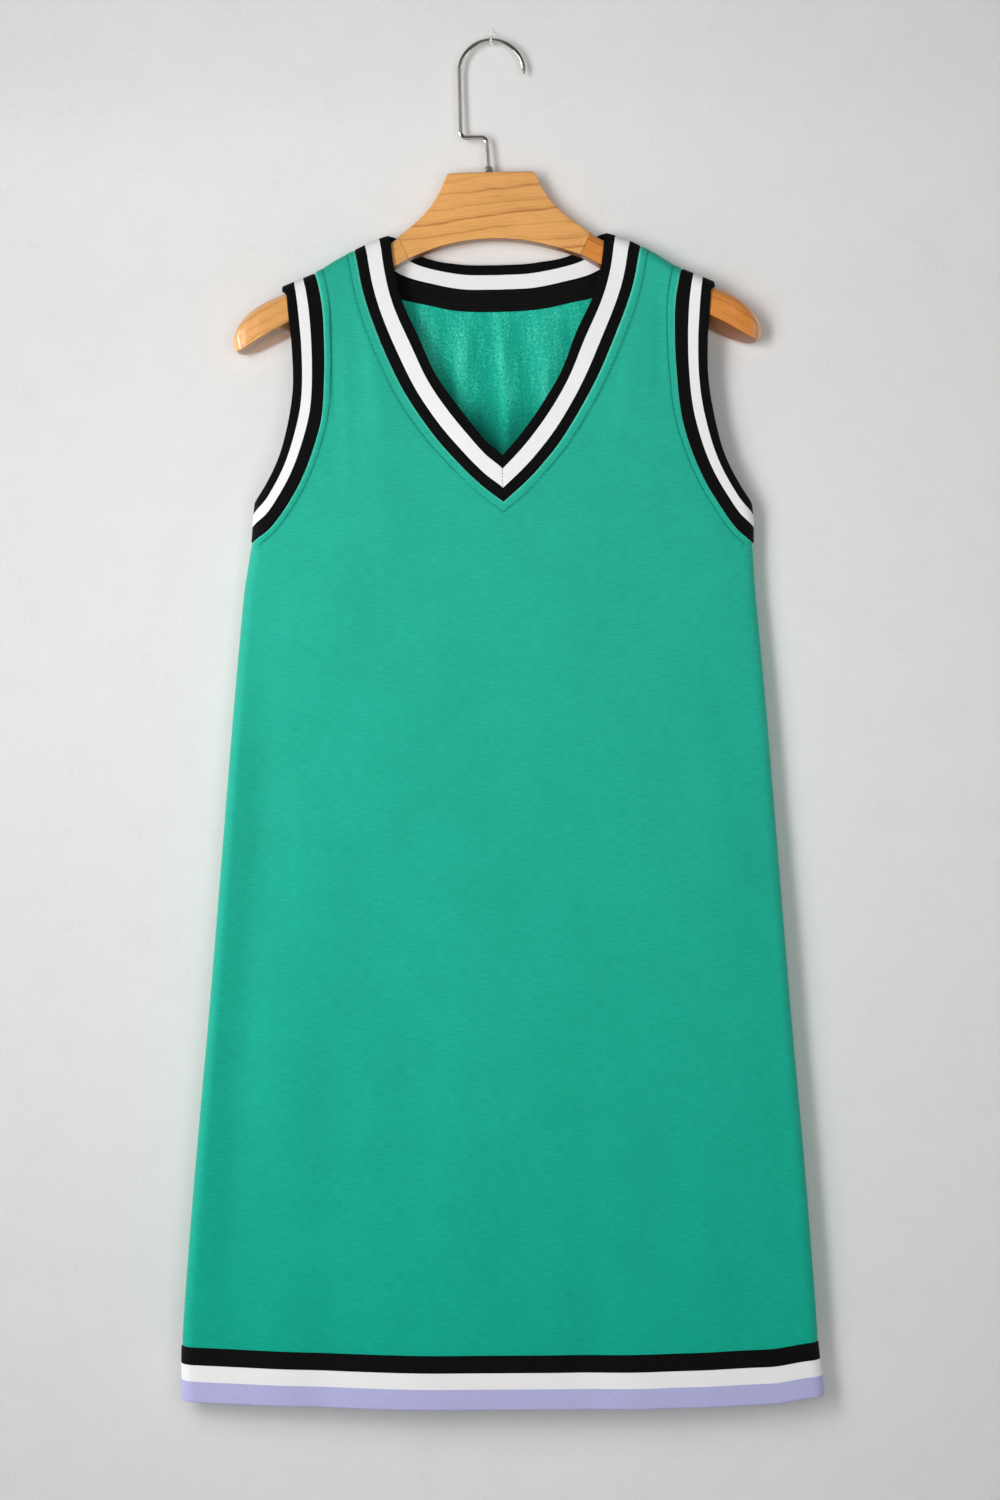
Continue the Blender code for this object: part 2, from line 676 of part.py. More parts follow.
def rib_ring(rib, half):
    """The closed outline of one cut through the wood, round the wood from its front top."""
    top = np.array((rib.top_x, rib.top_z)) * MM
    foot = np.array((rib.foot_x, rib.foot_z)) * MM
    length = np.linalg.norm(foot - top)
    down = (foot - top) / length
    depth = rib.depth * MM
    ring = []
    for side, at_foot in ((-1, False), (-1, True), (1, True), (1, False)):
        round_y = (rib.corner if at_foot else rib.crown_y) * MM
        round_z = (rib.corner if at_foot else rib.crown_z) * MM
        steps = range(CORNER_STEPS + 1)
        if side > 0:
            steps = reversed(steps)
        for step in steps:
            angle = math.pi / 2 * step / CORNER_STEPS
            if at_foot:
                angle = math.pi / 2 - angle
            y = side * (depth - round_y * (1 - math.sin(angle)))
            inset = round_z * (1 - math.cos(angle))
            along = length - inset + rib.slant * MM / 2 * y / depth if at_foot else inset
            x, z = top + down * along
            ring.append((half * x + off_centre(x), y, z))
    return ring


def loft(name, rings, spec):
    """A solid through closed rings, with flat ends."""
    count = len(rings[0])
    points = [tilted(point) for ring in rings for point in ring]
    quads = []
    for ring in range(len(rings) - 1):
        for i in range(count):
            after = (i + 1) % count
            a, b = ring * count, (ring + 1) * count
            quads.append((a + i, a + after, b + after, b + i))
    last = (len(rings) - 1) * count
    quads.append(tuple(reversed(range(count))))
    quads.append(tuple(range(last, last + count)))
    made = mesh_object(name, points, quads, (spec,))
    if signed_volume(made) < 0:
        made.data.flip_normals()
    return made


def signed_volume(made):
    made.data.calc_loop_triangles()
    total = 0.0
    for triangle in made.data.loop_triangles:
        a, b, c = (made.data.vertices[i].co for i in triangle.vertices)
        total += a.dot(b.cross(c))
    return total / 6


def shortened(ribs, gap):
    """The first rib moved along the wood, to leave a gap at the joint."""
    first, second = ribs[0], ribs[1]
    span = math.hypot(second.top_x - first.top_x, second.top_z - first.top_z) * MM
    share = gap / span
    mixed = [a + share * (b - a) for a, b in zip(first, second)]
    return [Rib(*mixed)] + list(ribs[1:])


def build_board():
    right = [rib_ring(rib, 1) for rib in BOARD_RIBS]
    left = [rib_ring(rib, -1) for rib in BOARD_RIBS[1:]]
    board = loft("hanger_board", left[::-1] + right, BOARD_WOOD)
    low, high = STEM_FOOT_Z - STEM_CLEARANCE, BOARD_TOP_Z + COLLAR_HEIGHT
    bore = cylinder("stem_bore", WIRE_RADIUS + STEM_CLEARANCE, low, high)
    bore.hide_render = True
    bore.display_type = "WIRE"
    cut = board.modifiers.new("stem bore", "BOOLEAN")
    cut.operation = "DIFFERENCE"
    cut.object = bore


def build_arms():
    ribs = shortened(ARM_RIBS, JOINT_GAP)
    for name, half in (("hanger_arm_right", 1), ("hanger_arm_left", -1)):
        loft(name, [rib_ring(rib, half) for rib in ribs], ARM_WOOD)


def circle(radius, z):
    angles = [2 * math.pi * i / ROUND_SIDES for i in range(ROUND_SIDES)]
    return [(STEM_X + radius * math.cos(a), radius * math.sin(a), z) for a in angles]


def cylinder(name, radius, low_z, high_z):
    return loft(name, [circle(radius, low_z), circle(radius, high_z)], NICKEL)


def build_collar():
    """A small turned collar round the wire, standing on the board."""
    low = BOARD_TOP_Z + JOINT_GAP
    bore = WIRE_RADIUS + STEM_CLEARANCE
    outline = (
        (bore, low),
        (COLLAR_RADIUS, low),
        (COLLAR_RADIUS, low + COLLAR_HEIGHT * COLLAR_SHOULDER),
        (COLLAR_RADIUS * COLLAR_TOP, low + COLLAR_HEIGHT),
        (bore, low + COLLAR_HEIGHT),
    )
    rings = [circle(radius, z) for radius, z in outline]
    count = len(rings[0])
    points = [tilted(point) for ring in rings for point in ring]
    faces = []
    for ring in range(len(rings)):
        below, above = ring * count, (ring + 1) % len(rings) * count
        for i in range(count):
            after = (i + 1) % count
            faces.append((below + i, below + after, above + after, above + i))
    collar = mesh_object("hook_collar", points, faces, (NICKEL,))
    if signed_volume(collar) < 0:
        collar.data.flip_normals()


def arc(centre, radius, start, end, steps):
    """Points of an arc in the hanger's plane, between two angles in degrees."""
    found = []
    for step in range(steps + 1):
        angle = math.radians(start + (end - start) * step / steps)
        found.append((centre[0] + radius * math.cos(angle), centre[1] + radius * math.sin(angle)))
    return found


def hook_path():
    """Centre line of the wire, from its foot in the board to its free tip."""
    eye_z = WIRE_RADIUS - HOOK_RADIUS
    leg_x = -HOOK_RADIUS
    path = [(STEM_X, STEM_FOOT_Z)]
    path += arc((STEM_X - CRANK_BEND, CRANK_Z - CRANK_BEND), CRANK_BEND, 0, 90, BEND_STEPS)
    path += arc((leg_x + CRANK_BEND, CRANK_Z + CRANK_BEND), CRANK_BEND, 270, 180, BEND_STEPS)
    path += arc((0.0, eye_z), HOOK_RADIUS, 180, 0, HOOK_STEPS)
    return path


def build_hook():
    curve = bpy.data.curves.new("hanger_hook", "CURVE")
    curve.dimensions = "3D"
    curve.bevel_depth = WIRE_RADIUS
    curve.bevel_resolution = 3
    curve.use_fill_caps = True
    line = curve.splines.new("POLY")
    path = hook_path()
    line.points.add(len(path) - 1)
    for point, (x, z) in zip(line.points, path):
        point.co = (*tilted((x, 0.0, z)), 1.0)
    line.use_smooth = True
    curve.materials.append(material(NICKEL))
    made = bpy.data.objects.new("hanger_hook", curve)
    bpy.context.scene.collection.objects.link(made)


def main():
    clear_scene()
    build_panel("front_panel", FRONT)
    build_panel("back_panel", BACK)
    build_neckband()
    build_armbands()
    build_hem_band()
    build_neck_tape()
    build_board()
    build_arms()
    build_collar()
    build_hook()


main()
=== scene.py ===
"""The looks of a green V-neck shift dress with striped rib bands, hung on a wooden hanger.

The frame is loaded at the top, and every piece of cloth, thread, wood and wire is built in its
place. Metres, +Z up, and the front of the dress faces -Y. The cloth is drawn as a pattern of
(x, run): x is the distance across from the middle of the dress, and run is the distance down
the cloth from the shoulder fold, positive on the front and negative on the back.
"""

import json
import math
from collections import namedtuple

import bpy
import numpy as np
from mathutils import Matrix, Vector

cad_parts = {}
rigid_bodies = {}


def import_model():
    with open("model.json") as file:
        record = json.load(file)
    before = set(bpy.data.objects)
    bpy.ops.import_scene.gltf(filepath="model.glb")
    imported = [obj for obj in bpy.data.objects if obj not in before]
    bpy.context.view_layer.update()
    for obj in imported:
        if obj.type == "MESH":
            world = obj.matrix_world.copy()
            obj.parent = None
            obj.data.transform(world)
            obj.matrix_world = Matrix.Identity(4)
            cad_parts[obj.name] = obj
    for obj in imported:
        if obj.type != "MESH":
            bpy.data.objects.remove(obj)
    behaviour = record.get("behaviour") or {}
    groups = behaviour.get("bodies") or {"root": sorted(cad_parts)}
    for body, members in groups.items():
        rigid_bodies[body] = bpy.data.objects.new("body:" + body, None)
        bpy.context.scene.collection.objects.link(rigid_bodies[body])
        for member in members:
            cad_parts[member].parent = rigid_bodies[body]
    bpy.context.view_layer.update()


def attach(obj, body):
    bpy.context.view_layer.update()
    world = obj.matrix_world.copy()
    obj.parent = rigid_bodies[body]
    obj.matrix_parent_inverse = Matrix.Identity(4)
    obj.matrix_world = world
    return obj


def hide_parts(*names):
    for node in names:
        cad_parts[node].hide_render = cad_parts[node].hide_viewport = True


bl_info = {
    "name": "Shift Dress on a Hanger",
    "version": (1, 0, 0),
    "blender": (4, 5, 0),
    "location": "View3D > Sidebar > Dress",
    "description": "Builds a knitted shift dress with striped rib bands on a wooden hanger",
    "category": "Add Mesh",
}

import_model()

MM = 0.001
FRONT = 1
BACK = -1

# Form of the tube of cloth: a quarter round at each side fold and over the shoulders
SIDE_ROLL = 9.0 * MM
SHOULDER_RISE = 10.0 * MM
SHOULDER_RUN = 18.0 * MM
SETTLE = 120.0 * MM

# The hanger leans on its peg, and the shoulders of the dress lean with it
TILT = math.radians(1.3)
LEAN_TOP_Z = -365.0 * MM
LEAN_BOTTOM_Z = -445.0 * MM
SHOULDER_SHIFT = 1.5 * MM
BODY_SHIFT = 7.2 * MM
HEM_SWAY = 2.3 * MM
HEM_LIFT = 3.4 * MM
LEVEL_ABOVE_Z = -270.0 * MM
LEVEL_BELOW_Z = -330.0 * MM
HEM_LIFT_X = 212.0 * MM
HEM_LIFT_REACH = 35.0 * MM
HEM_LIFT_Z = -990.0 * MM
HEM_LIFT_FADE = 50.0 * MM

SEAM_HALF_GAP = 0.15 * MM
LAY_GAP = 0.3 * MM

# Shares of a band's width, from the free edge to the seam, at which the knit colour changes
NECK_STRIPES = (0.0, 0.29, 0.70, 1.0)
ARM_STRIPES = (0.0, 0.30, 0.61, 1.0)
HEM_STRIPES = (0.0, 0.385, 0.685, 1.0)
TAPE_WIDTH = 17.5 * MM
TAPE_ABOVE_SEAM = 8.0 * MM
TAPE_REACH = 0.9
TAPE_EDGE = 0.6 * MM
TAPE_EDGE_SHARE = 0.35
TAPE_RIM = np.array((0.0, 0.15, 0.5)) * MM
TAPE_FILLING = np.linspace(1.2 * MM, TAPE_WIDTH - 1.2 * MM, 10)
TAPE_SEWN_AT = (1.6 * MM, TAPE_WIDTH - 5.0 * MM, TAPE_WIDTH - 1.8 * MM)

Body = namedtuple("Body", "z half_width front_depth back_depth")
BODY = (
    Body(-1086.0, 255.0, 23.0, 17.0),
    Body(-1039.0, 252.8, 23.0, 17.0),
    Body(-924.0, 244.6, 22.0, 16.5),
    Body(-764.0, 230.6, 21.5, 16.0),
    Body(-605.0, 217.7, 21.5, 15.5),
    Body(-525.0, 211.2, 21.5, 15.5),
    Body(-445.0, 203.9, 21.0, 15.0),
    Body(-400.0, 199.3, 21.0, 15.0),
    Body(-368.4, 197.3, 21.0, 15.0),
    Body(-353.0, 192.0, 20.5, 15.0),
    Body(-328.0, 192.0, 20.0, 15.0),
    Body(-298.0, 196.0, 19.5, 15.0),
    Body(-241.0, 202.0, 19.0, 15.0),
    Body(-140.0, 210.0, 19.0, 15.0),
)

# The shoulder fold: its height, and how far the cloth stands off the hanger's middle plane
Shoulder = namedtuple("Shoulder", "x top front_reach back_reach")
SHOULDER = (
    Shoulder(0.0, -147.0, 11.5, 12.0),
    Shoulder(50.0, -148.5, 11.5, 12.0),
    Shoulder(86.0, -156.0, 12.0, 12.5),
    Shoulder(114.3, -168.4, 13.8, 14.5),
    Shoulder(146.7, -184.0, 17.2, 17.8),
    Shoulder(171.5, -194.4, 18.8, 19.2),
    Shoulder(215.0, -211.0, 19.0, 19.5),
)

# Edges as (x, z) in mm, each from its lowest point up towards the shoulder fold
NECK_OPENING_FRONT = (
    (0.0, -332.0), (14.8, -315.3), (32.7, -291.7), (50.6, -264.5), (63.3, -237.4),
    (76.5, -208.9), (82.5, -182.8),
)
NECK_SEAM_FRONT = (
    (0.0, -368.8), (15.8, -354.8), (28.2, -342.3), (47.1, -319.3), (65.7, -291.0),
    (82.9, -262.0), (96.9, -232.9), (107.3, -202.0),
)
NECK_OPENING_BACK = (
    (0.0, -175.6), (30.0, -174.3), (60.0, -168.3),
)
NECK_SEAM_BACK = (
    (0.0, -203.6), (36.0, -202.0), (72.0, -195.0), (98.0, -183.0),
)
NECK_OPENING = {FRONT: NECK_OPENING_FRONT, BACK: NECK_OPENING_BACK}
NECK_SEAM = {FRONT: NECK_SEAM_FRONT, BACK: NECK_SEAM_BACK}
NECK_OPENING_FOLD = 86.0 * MM
NECK_SEAM_FOLD = 114.3 * MM

ARM_OPENING = (
    (197.3, -368.4), (187.6, -353.3), (176.0, -328.4), (168.2, -298.0), (164.5, -270.6),
    (164.8, -241.5), (166.5, -222.0),
)
ARM_SEAM = (
    (199.3, -399.9), (184.8, -388.3), (170.5, -368.8), (158.6, -347.7), (148.7, -322.7),
    (142.3, -298.2), (139.7, -268.3), (139.1, -241.5), (140.4, -209.6),
)
ARM_OPENING_FOLD = 169.0 * MM
ARM_SEAM_FOLD = 146.7 * MM

HEM_SEAM_SIDE_Z = -1038.8 * MM
HEM_EDGE_SIDE_Z = -1082.2 * MM
HEM_SEAM_DIP = 3.8 * MM
HEM_EDGE_DIP = 3.2 * MM

# Sideways shifts of the front round the V: the side, start and reach across, the height they
# are at and how far up and down they fade, and the shift itself, all in mm
Shift = namedtuple("Shift", "side start reach z height shift")
NECK_SHIFTS = (
    Shift(-1, 0.0, 12.0, -330.0, 50.0, -2.4),
    Shift(-1, 15.0, 60.0, -300.0, 50.0, -3.4),
    Shift(1, 0.0, 30.0, -230.0, 40.0, -3.6),
)
NECK_SHIFT_END = 150.0 * MM
NECK_SHIFT_FADE = 70.0 * MM
NECK_SHIFT_DEPTH = 10.0 * MM

# How much higher the shoulders lie than the hanger's lean takes them, in mm
Lift = namedtuple("Lift", "x height")
SHOULDER_LIFTS = (
    (-200.0, 2.8), (-185.0, 2.7), (-165.0, 1.3), (-150.0, 0.9), (-138.0, 2.1),
    (-124.0, 3.3), (-105.0, 3.0), (-80.0, 1.8), (-50.0, 0.5), (-30.0, 0.0), (70.0, 0.0),
    (88.0, 0.5), (108.0, 1.6), (122.0, 1.5), (131.0, 0.2), (144.0, -1.7), (160.0, -2.0),
    (185.0, -2.4), (200.0, -2.6),
)
SHOULDER_LIFTS = [Lift(*row) for row in SHOULDER_LIFTS]
LIFT_BELOW_Z = -275.0 * MM
LIFT_FADE = 75.0 * MM

# Broad folds: share of the depth they take. The solids have these too.
Fold = namedtuple("Fold", "side x top bottom slant width height")
FRONT_FOLDS = (
    (-172.0, -430.0, -1200.0, -0.05, 26.0, -0.10),
    (176.0, -450.0, -1200.0, 0.05, 24.0, -0.08),
    (-112.0, -200.0, -470.0, 0.10, 20.0, 0.06),
    (92.0, -760.0, -1200.0, 0.06, 42.0, 0.07),
    (-70.0, -820.0, -1200.0, -0.04, 46.0, 0.06),
)
BACK_FOLDS = (
    (-96.0, -300.0, -1200.0, -0.07, 38.0, -0.16),
    (18.0, -215.0, -760.0, 0.02, 30.0, -0.14),
    (104.0, -340.0, -1200.0, 0.08, 40.0, -0.15),
    (-28.0, -640.0, -1200.0, -0.02, 44.0, 0.12),
)
FOLDS = [Fold(FRONT, *row) for row in FRONT_FOLDS]
FOLDS += [Fold(BACK, *row) for row in BACK_FOLDS]
FOLD_GROWTH = 0.25

# Small creases, each a soft trough (negative) or ridge along a line, in mm
Crease = namedtuple("Crease", "side x z foot_x foot_z width height")
FRONT_CREASES = (
    (-226.0, -1090.0, -186.0, -440.0, 17.0, -3.4),
    (230.0, -1090.0, 192.0, -440.0, 12.0, -1.0),
    (-133.5, -190.0, -132.5, -312.0, 1.2, -0.7),
    (-119.0, -184.0, -133.0, -220.0, 3.2, -0.9),
    (-121.0, -200.0, -124.0, -380.0, 6.0, 0.7),
    (-114.5, -190.0, -84.0, -335.0, 8.0, 1.0),
    (128.0, -188.0, 124.0, -300.0, 5.0, -0.8),
    (114.0, -200.0, 92.0, -330.0, 8.0, 0.8),
    (196.0, -404.0, 140.0, -345.0, 7.0, -0.8),
    (-196.0, -404.0, -140.0, -345.0, 7.0, -0.7),
    (120.0, -420.0, 190.0, -520.0, 16.0, 1.2),
    (150.0, -470.0, 178.0, -700.0, 14.0, 1.2),
    (168.0, -500.0, 196.0, -660.0, 12.0, -0.7),
    (-30.0, -640.0, -52.0, -1180.0, 24.0, 1.4),
    (60.0, -760.0, 74.0, -1240.0, 18.0, -1.2),
    (-130.0, -700.0, -148.0, -1240.0, 20.0, -1.3),
    (150.0, -800.0, 168.0, -1240.0, 18.0, 1.3),
    (-190.0, -940.0, -60.0, -1010.0, 22.0, 0.9),
)
BACK_CREASES = (
    (-76.0, -200.0, -84.0, -340.0, 7.0, 1.8),
    (-58.0, -200.0, -60.0, -360.0, 6.0, -2.2),
    (-43.0, -196.0, -47.0, -370.0, 6.0, 2.3),
    (-31.0, -196.0, -30.0, -360.0, 4.5, -2.6),
    (-12.0, -196.0, -13.0, -380.0, 7.0, 2.5),
    (2.0, -196.0, 4.0, -390.0, 4.5, -2.9),
    (17.0, -196.0, 20.0, -380.0, 6.0, 2.6),
    (32.0, -196.0, 38.0, -370.0, 5.0, -2.7),
    (50.0, -196.0, 60.0, -360.0, 6.5, 2.4),
    (72.0, -200.0, 84.0, -350.0, 8.0, -2.0),
    (-150.0, -520.0, -176.0, -1180.0, 18.0, 1.4),
    (60.0, -420.0, 66.0, -1180.0, 20.0, 1.3),
    (-60.0, -500.0, -66.0, -1180.0, 18.0, -1.2),
    (158.0, -500.0, 184.0, -1180.0, 16.0, 1.3),
    (-196.0, -404.0, -140.0, -345.0, 7.0, -0.9),
    (196.0, -404.0, 140.0, -345.0, 7.0, -0.9),
)
CREASES = [Crease(FRONT, *row) for row in FRONT_CREASES]
CREASES += [Crease(BACK, *row) for row in BACK_CREASES]
CREASE_GROWTH = 0.3
CREASE_WANDER = 1.6 * MM
CREASE_FREE_BELOW_FOLD = 30.0 * MM

# A faint unevenness all over: wavelength across and down, phase, and height, in mm
Ripple = namedtuple("Ripple", "across down phase height")
RIPPLES = (
    Ripple(173.0, 410.0, 0.4, 0.35),
    Ripple(-97.0, 260.0, 1.9, 0.22),
    Ripple(61.0, 330.0, 3.1, 0.12),
    Ripple(141.0, -190.0, 5.0, 0.16),
)

# Places across a panel, as distances from its middle or neck seam and from its outer seam
START_STEPS = np.array((0.0, 0.4, 1.0, 1.8, 2.9, 4.1, 5.2, 5.7, 6.2, 6.7, 7.7, 9.8, 13.0)) * MM
END_STEPS = (0.0, 0.05, 0.2, 0.5, 1.0, 1.7, 2.6, 3.7, 4.9, 5.4, 5.9, 6.4, 7.0, 7.6, 8.3, 9.4, 12.0)
END_STEPS = np.array(END_STEPS) * MM
MIDDLE_COLUMNS = 26
BODY_ROWS = 100
NECK_STATIONS = {FRONT: 100, BACK: 45}
MITRE_STEPS = np.array((0.0, 0.2, 0.45, 0.8, 1.4)) * MM
ARM_STATIONS = 150
ARM_CROWDING = 1.4
FOLD_RUNS = np.array((15.5, 13.0, 10.5, 8.0, 5.5, 3.5, 1.6, 0.0)) * MM
EDGE_SAMPLES = 900
HEM_STATIONS = 70
TAPE_STATIONS = 70
NORMAL_STEP = 0.02 * MM
SHARP_ANGLE = math.radians(50)

# Places across a band: distances in from its free edge and from its seam
FREE_STEPS = np.array((0.0, 0.1, 0.4, 0.8, 1.3)) * MM
SEAM_STEPS = np.array((1.7, 1.0, 0.45, 0.0)) * MM
BAND_FILL = 3
BAND_CROWN = 0.25 * MM
ARM_FLARE = 3.0 * MM
FLARE_RUN = 14.0 * MM
FLARE_FADE = 2.5 * MM
MITRE_DEPTH = 0.55 * MM
MITRE_WIDTH = 0.5 * MM
SEAM_ROUND = 1.3 * MM
SEAM_SHARE = 0.3
STITCH_GROOVE = 0.35 * MM
GROOVE_WIDTH = 0.7 * MM
ALLOWANCE_LIFT = 0.35 * MM
ALLOWANCE_FADE = 2.0 * MM

# Painted light and shade on the terry, lightening it (positive) or darkening it: a painted
# highlight along a seam's folded rim, painted shade in stitched grooves and tucks narrower than
# TUCK_WIDTH, painted light and shade with crease heights on face and inside, and a painted shadow
# in the hollow of the back below the neck
RIM_HIGHLIGHT = 1.3
RIM_WIDTH = 1.2 * MM
GROOVE_SHADE = 0.8
TUCK_SHADE = 0.5
TUCK_WIDTH = 2.0
FACE_CREASE_SHADE = 0.07
FOLD_LIGHT_AND_SHADE = 0.15
VALLEY_SHADOW = 1.7
VALLEY_Z = -275.0 * MM
VALLEY_FADE = 50.0 * MM
VALLEY_WIDTH = 45.0 * MM

# Stitches: their sizes, and a stitch's (place along it, thickness, rise) from end to end. A
# negative radius lays them on the inside of the cloth.
Stitch = namedtuple("Stitch", "radius length gap")
STITCH_GAP = 1.2 * MM
TAPE_STITCH = Stitch(-0.24 * MM, 1.7 * MM, 0.5 * MM)
MITRE_STITCH = Stitch(0.26 * MM, 2.0 * MM, 0.15 * MM)
MITRE_STITCH_LIFT = 0.1 * MM
MITRE_STATIONS = 20
STITCH_SIDES = 6
STITCH_SHAPE = (
    (0.0, 0.25, -1.0),
    (0.14, 0.8, -0.2),
    (0.35, 1.0, 0.35),
    (0.65, 1.0, 0.35),
    (0.86, 0.8, -0.2),
    (1.0, 0.25, -1.0),
)

# Knit of the terry and the rib, and twill of the tape
WALE_WIDTH = 1.15 * MM
COURSE_HEIGHT = 0.85 * MM
RIB_WIDTH = 1.25 * MM
RIB_COURSE = 0.9 * MM
TWILL_WIDTH = 0.8 * MM
TWILL_TURN = 2.2 * MM

# Painted shade, darker towards the hem: share of the terry's colour that is left there
HEM_SHADE = (0.25, 0.93, 0.93)
HEM_SHADE_START = 0.2
HEM_SHADE_REACH = 0.85

# The clear loop on the wall that holds the hook, as (y, z) from the wall and back to it
LOOP_WIDTH = 2.0 * MM
LOOP_THICKNESS = 0.4 * MM
LOOP_SIDES = 16
LOOP_STATIONS = 60
LOOP_START_Z = 14.0 * MM
LOOP_END_Z = 3.0 * MM
LOOP_MIDDLE = ((2.8, 9.0), (-2.3, 3.4), (-2.6, 0.6), (0.0, -0.75), (3.4, -0.4))

# Hanger, in its own upright frame
HOOK_RADIUS = 25.8 * MM
CRANK_Z = -75.6 * MM
CRANK_BEND = 4.6 * MM
STEM_X = -4.0 * MM
STEM_LEAN = 1.1 * MM
STEM_IN_WOOD = 6.0 * MM
STEM_STRAIGHT = 4.0 * MM
CRANK_STEPS = 12
HOOK_STEPS = 72
TIP_STEPS = 8
TIP_END = 0.03
WIRE_SIDES = 24
COLLAR_SIDES = 32
BOARD_TOP_Z = -104.5 * MM
JOINT_GAP = 0.25 * MM
OffCentre = namedtuple("OffCentre", "x shift")
OFF_CENTRE = (OffCentre(40.0, -2.5), OffCentre(76.0, -0.7))
RIB_FIELDS = "top_x top_z foot_x foot_z depth crown_y crown_z corner slant"
Rib = namedtuple("Rib", RIB_FIELDS, defaults=(7.0, 2.4, 2.4, 2.0, 0.0))
JOINT_RIB = Rib(76.6, -154.1, 68.3, -172.0, crown_y=4.6, crown_z=3.8)
BOARD_RIBS = (
    Rib(0.0, -104.5, 0.0, -157.8),
    Rib(17.0, -104.5, 11.0, -158.2),
    Rib(31.0, -104.6, 21.0, -159.2),
    Rib(34.6, -105.7, 28.0, -160.3),
    Rib(36.6, -109.2, 33.0, -161.3),
    Rib(40.4, -117.8, 40.0, -162.9),
    Rib(46.8, -128.0, 47.0, -164.9),
    Rib(54.6, -136.8, 54.0, -167.1),
    Rib(65.0, -145.8, 61.0, -169.4),
    JOINT_RIB,
)
ARM_RIBS = (
    JOINT_RIB,
    Rib(80.0, -156.9, 73.0, -174.4, 7.2, 6.6, 5.4, 2.1, 0.1),
    Rib(87.4, -160.4, 81.0, -179.2, 8.0, 8.0, 6.4, 2.2, 0.4),
    Rib(100.0, -165.8, 93.5, -186.2, 9.3, 9.3, 7.6, 2.4, 1.2),
    Rib(115.0, -171.4, 108.0, -193.8, 10.9, 10.9, 8.4, 2.6, 2.2),
    Rib(131.0, -178.9, 124.0, -202.2, 12.7, 12.7, 8.6, 2.8, 3.4),
    Rib(147.0, -187.0, 140.0, -211.0, 14.4, 14.4, 8.8, 3.0, 4.4),
    Rib(160.0, -193.2, 153.0, -218.4, 15.6, 15.6, 9.0, 3.0, 5.2),
    Rib(172.0, -199.0, 165.0, -224.8, 16.2, 16.2, 9.2, 3.0, 5.4),
    Rib(182.0, -203.0, 176.0, -230.2, 16.4, 16.4, 9.4, 3.0, 5.2),
    Rib(191.0, -208.0, 186.0, -235.4, 15.8, 15.8, 9.6, 3.0, 4.6),
    Rib(199.5, -214.6, 195.0, -239.8, 13.8, 13.8, 9.6, 3.2, 3.4),
    Rib(206.2, -222.4, 202.0, -242.6, 10.4, 10.4, 8.4, 3.2, 2.0),
    Rib(209.6, -230.0, 206.4, -243.0, 5.6, 5.6, 5.4, 2.6, 0.8),
    Rib(210.3, -233.4, 208.2, -241.6, 3.2, 3.2, 3.0, 2.0, 0.4),
    Rib(210.5, -236.2, 209.6, -239.6, 1.0, 1.0, 1.0, 0.8, 0.1),
)
RIB_FILL = 4
FOOT_CORNER = 0.3
CORNER_STEPS = 7

# Wood: the grain's slope in degrees, the distance between its lines in mm, how deep its darkest
# colour is, how much painted shade darkens the lower faces, and how much of the clear coat shows
Grain = namedtuple("Grain", "rise growth depth under coat")
BOARD_GRAIN = Grain(6.0, 10.5, 0.62, 0.9, 0.35)
LEFT_ARM_GRAIN = Grain(27.0, 8.0, 0.5, 0.6, 0.6)
RIGHT_ARM_GRAIN = Grain(-27.0, 8.0, 0.5, 1.0, 0.25)

# How dark a line of late growth is at each share of the way to the next one
LATE_GROWTH = ((0.0, 1.0), (0.1, 0.8), (0.24, 0.25), (0.5, 0.03), (0.9, 0.05), (1.0, 1.0))

# The collar's height above the wood, and its outline: share of its radius, and height in mm
COLLAR_LIFT = 0.3 * MM
COLLAR_SHAPE = (
    (0.1, 0.0), (1.12, 0.0), (1.2, 0.25), (1.2, 0.9), (1.05, 1.3), (0.9, 1.6), (0.9, 1.8),
    (1.0, 2.1), (0.99, 2.8), (0.93, 3.4), (0.82, 4.1), (0.73, 4.75), (0.66, 5.0),
    (0.1, 5.0),
)

# The wall stands a little further back from these heights down, over these distances
HANGER_BOW_Z = -0.03
HANGER_BOW_FADE = 0.16
SKIRT_BOW_Z = -0.42
SKIRT_BOW_FADE = 0.35
BOW_HEIGHTS = np.linspace(-0.85, 0.05, 91)

# The wall's foot and top, how far it reaches to each side, and the floor's near edge
WALL_LOW = -1.9
WALL_HIGH = 2.2
WALL_REACH = 3.5
FLOOR_NEAR = -4.5
CAMERA_X = 0.0072
CAMERA_Z = -0.5647

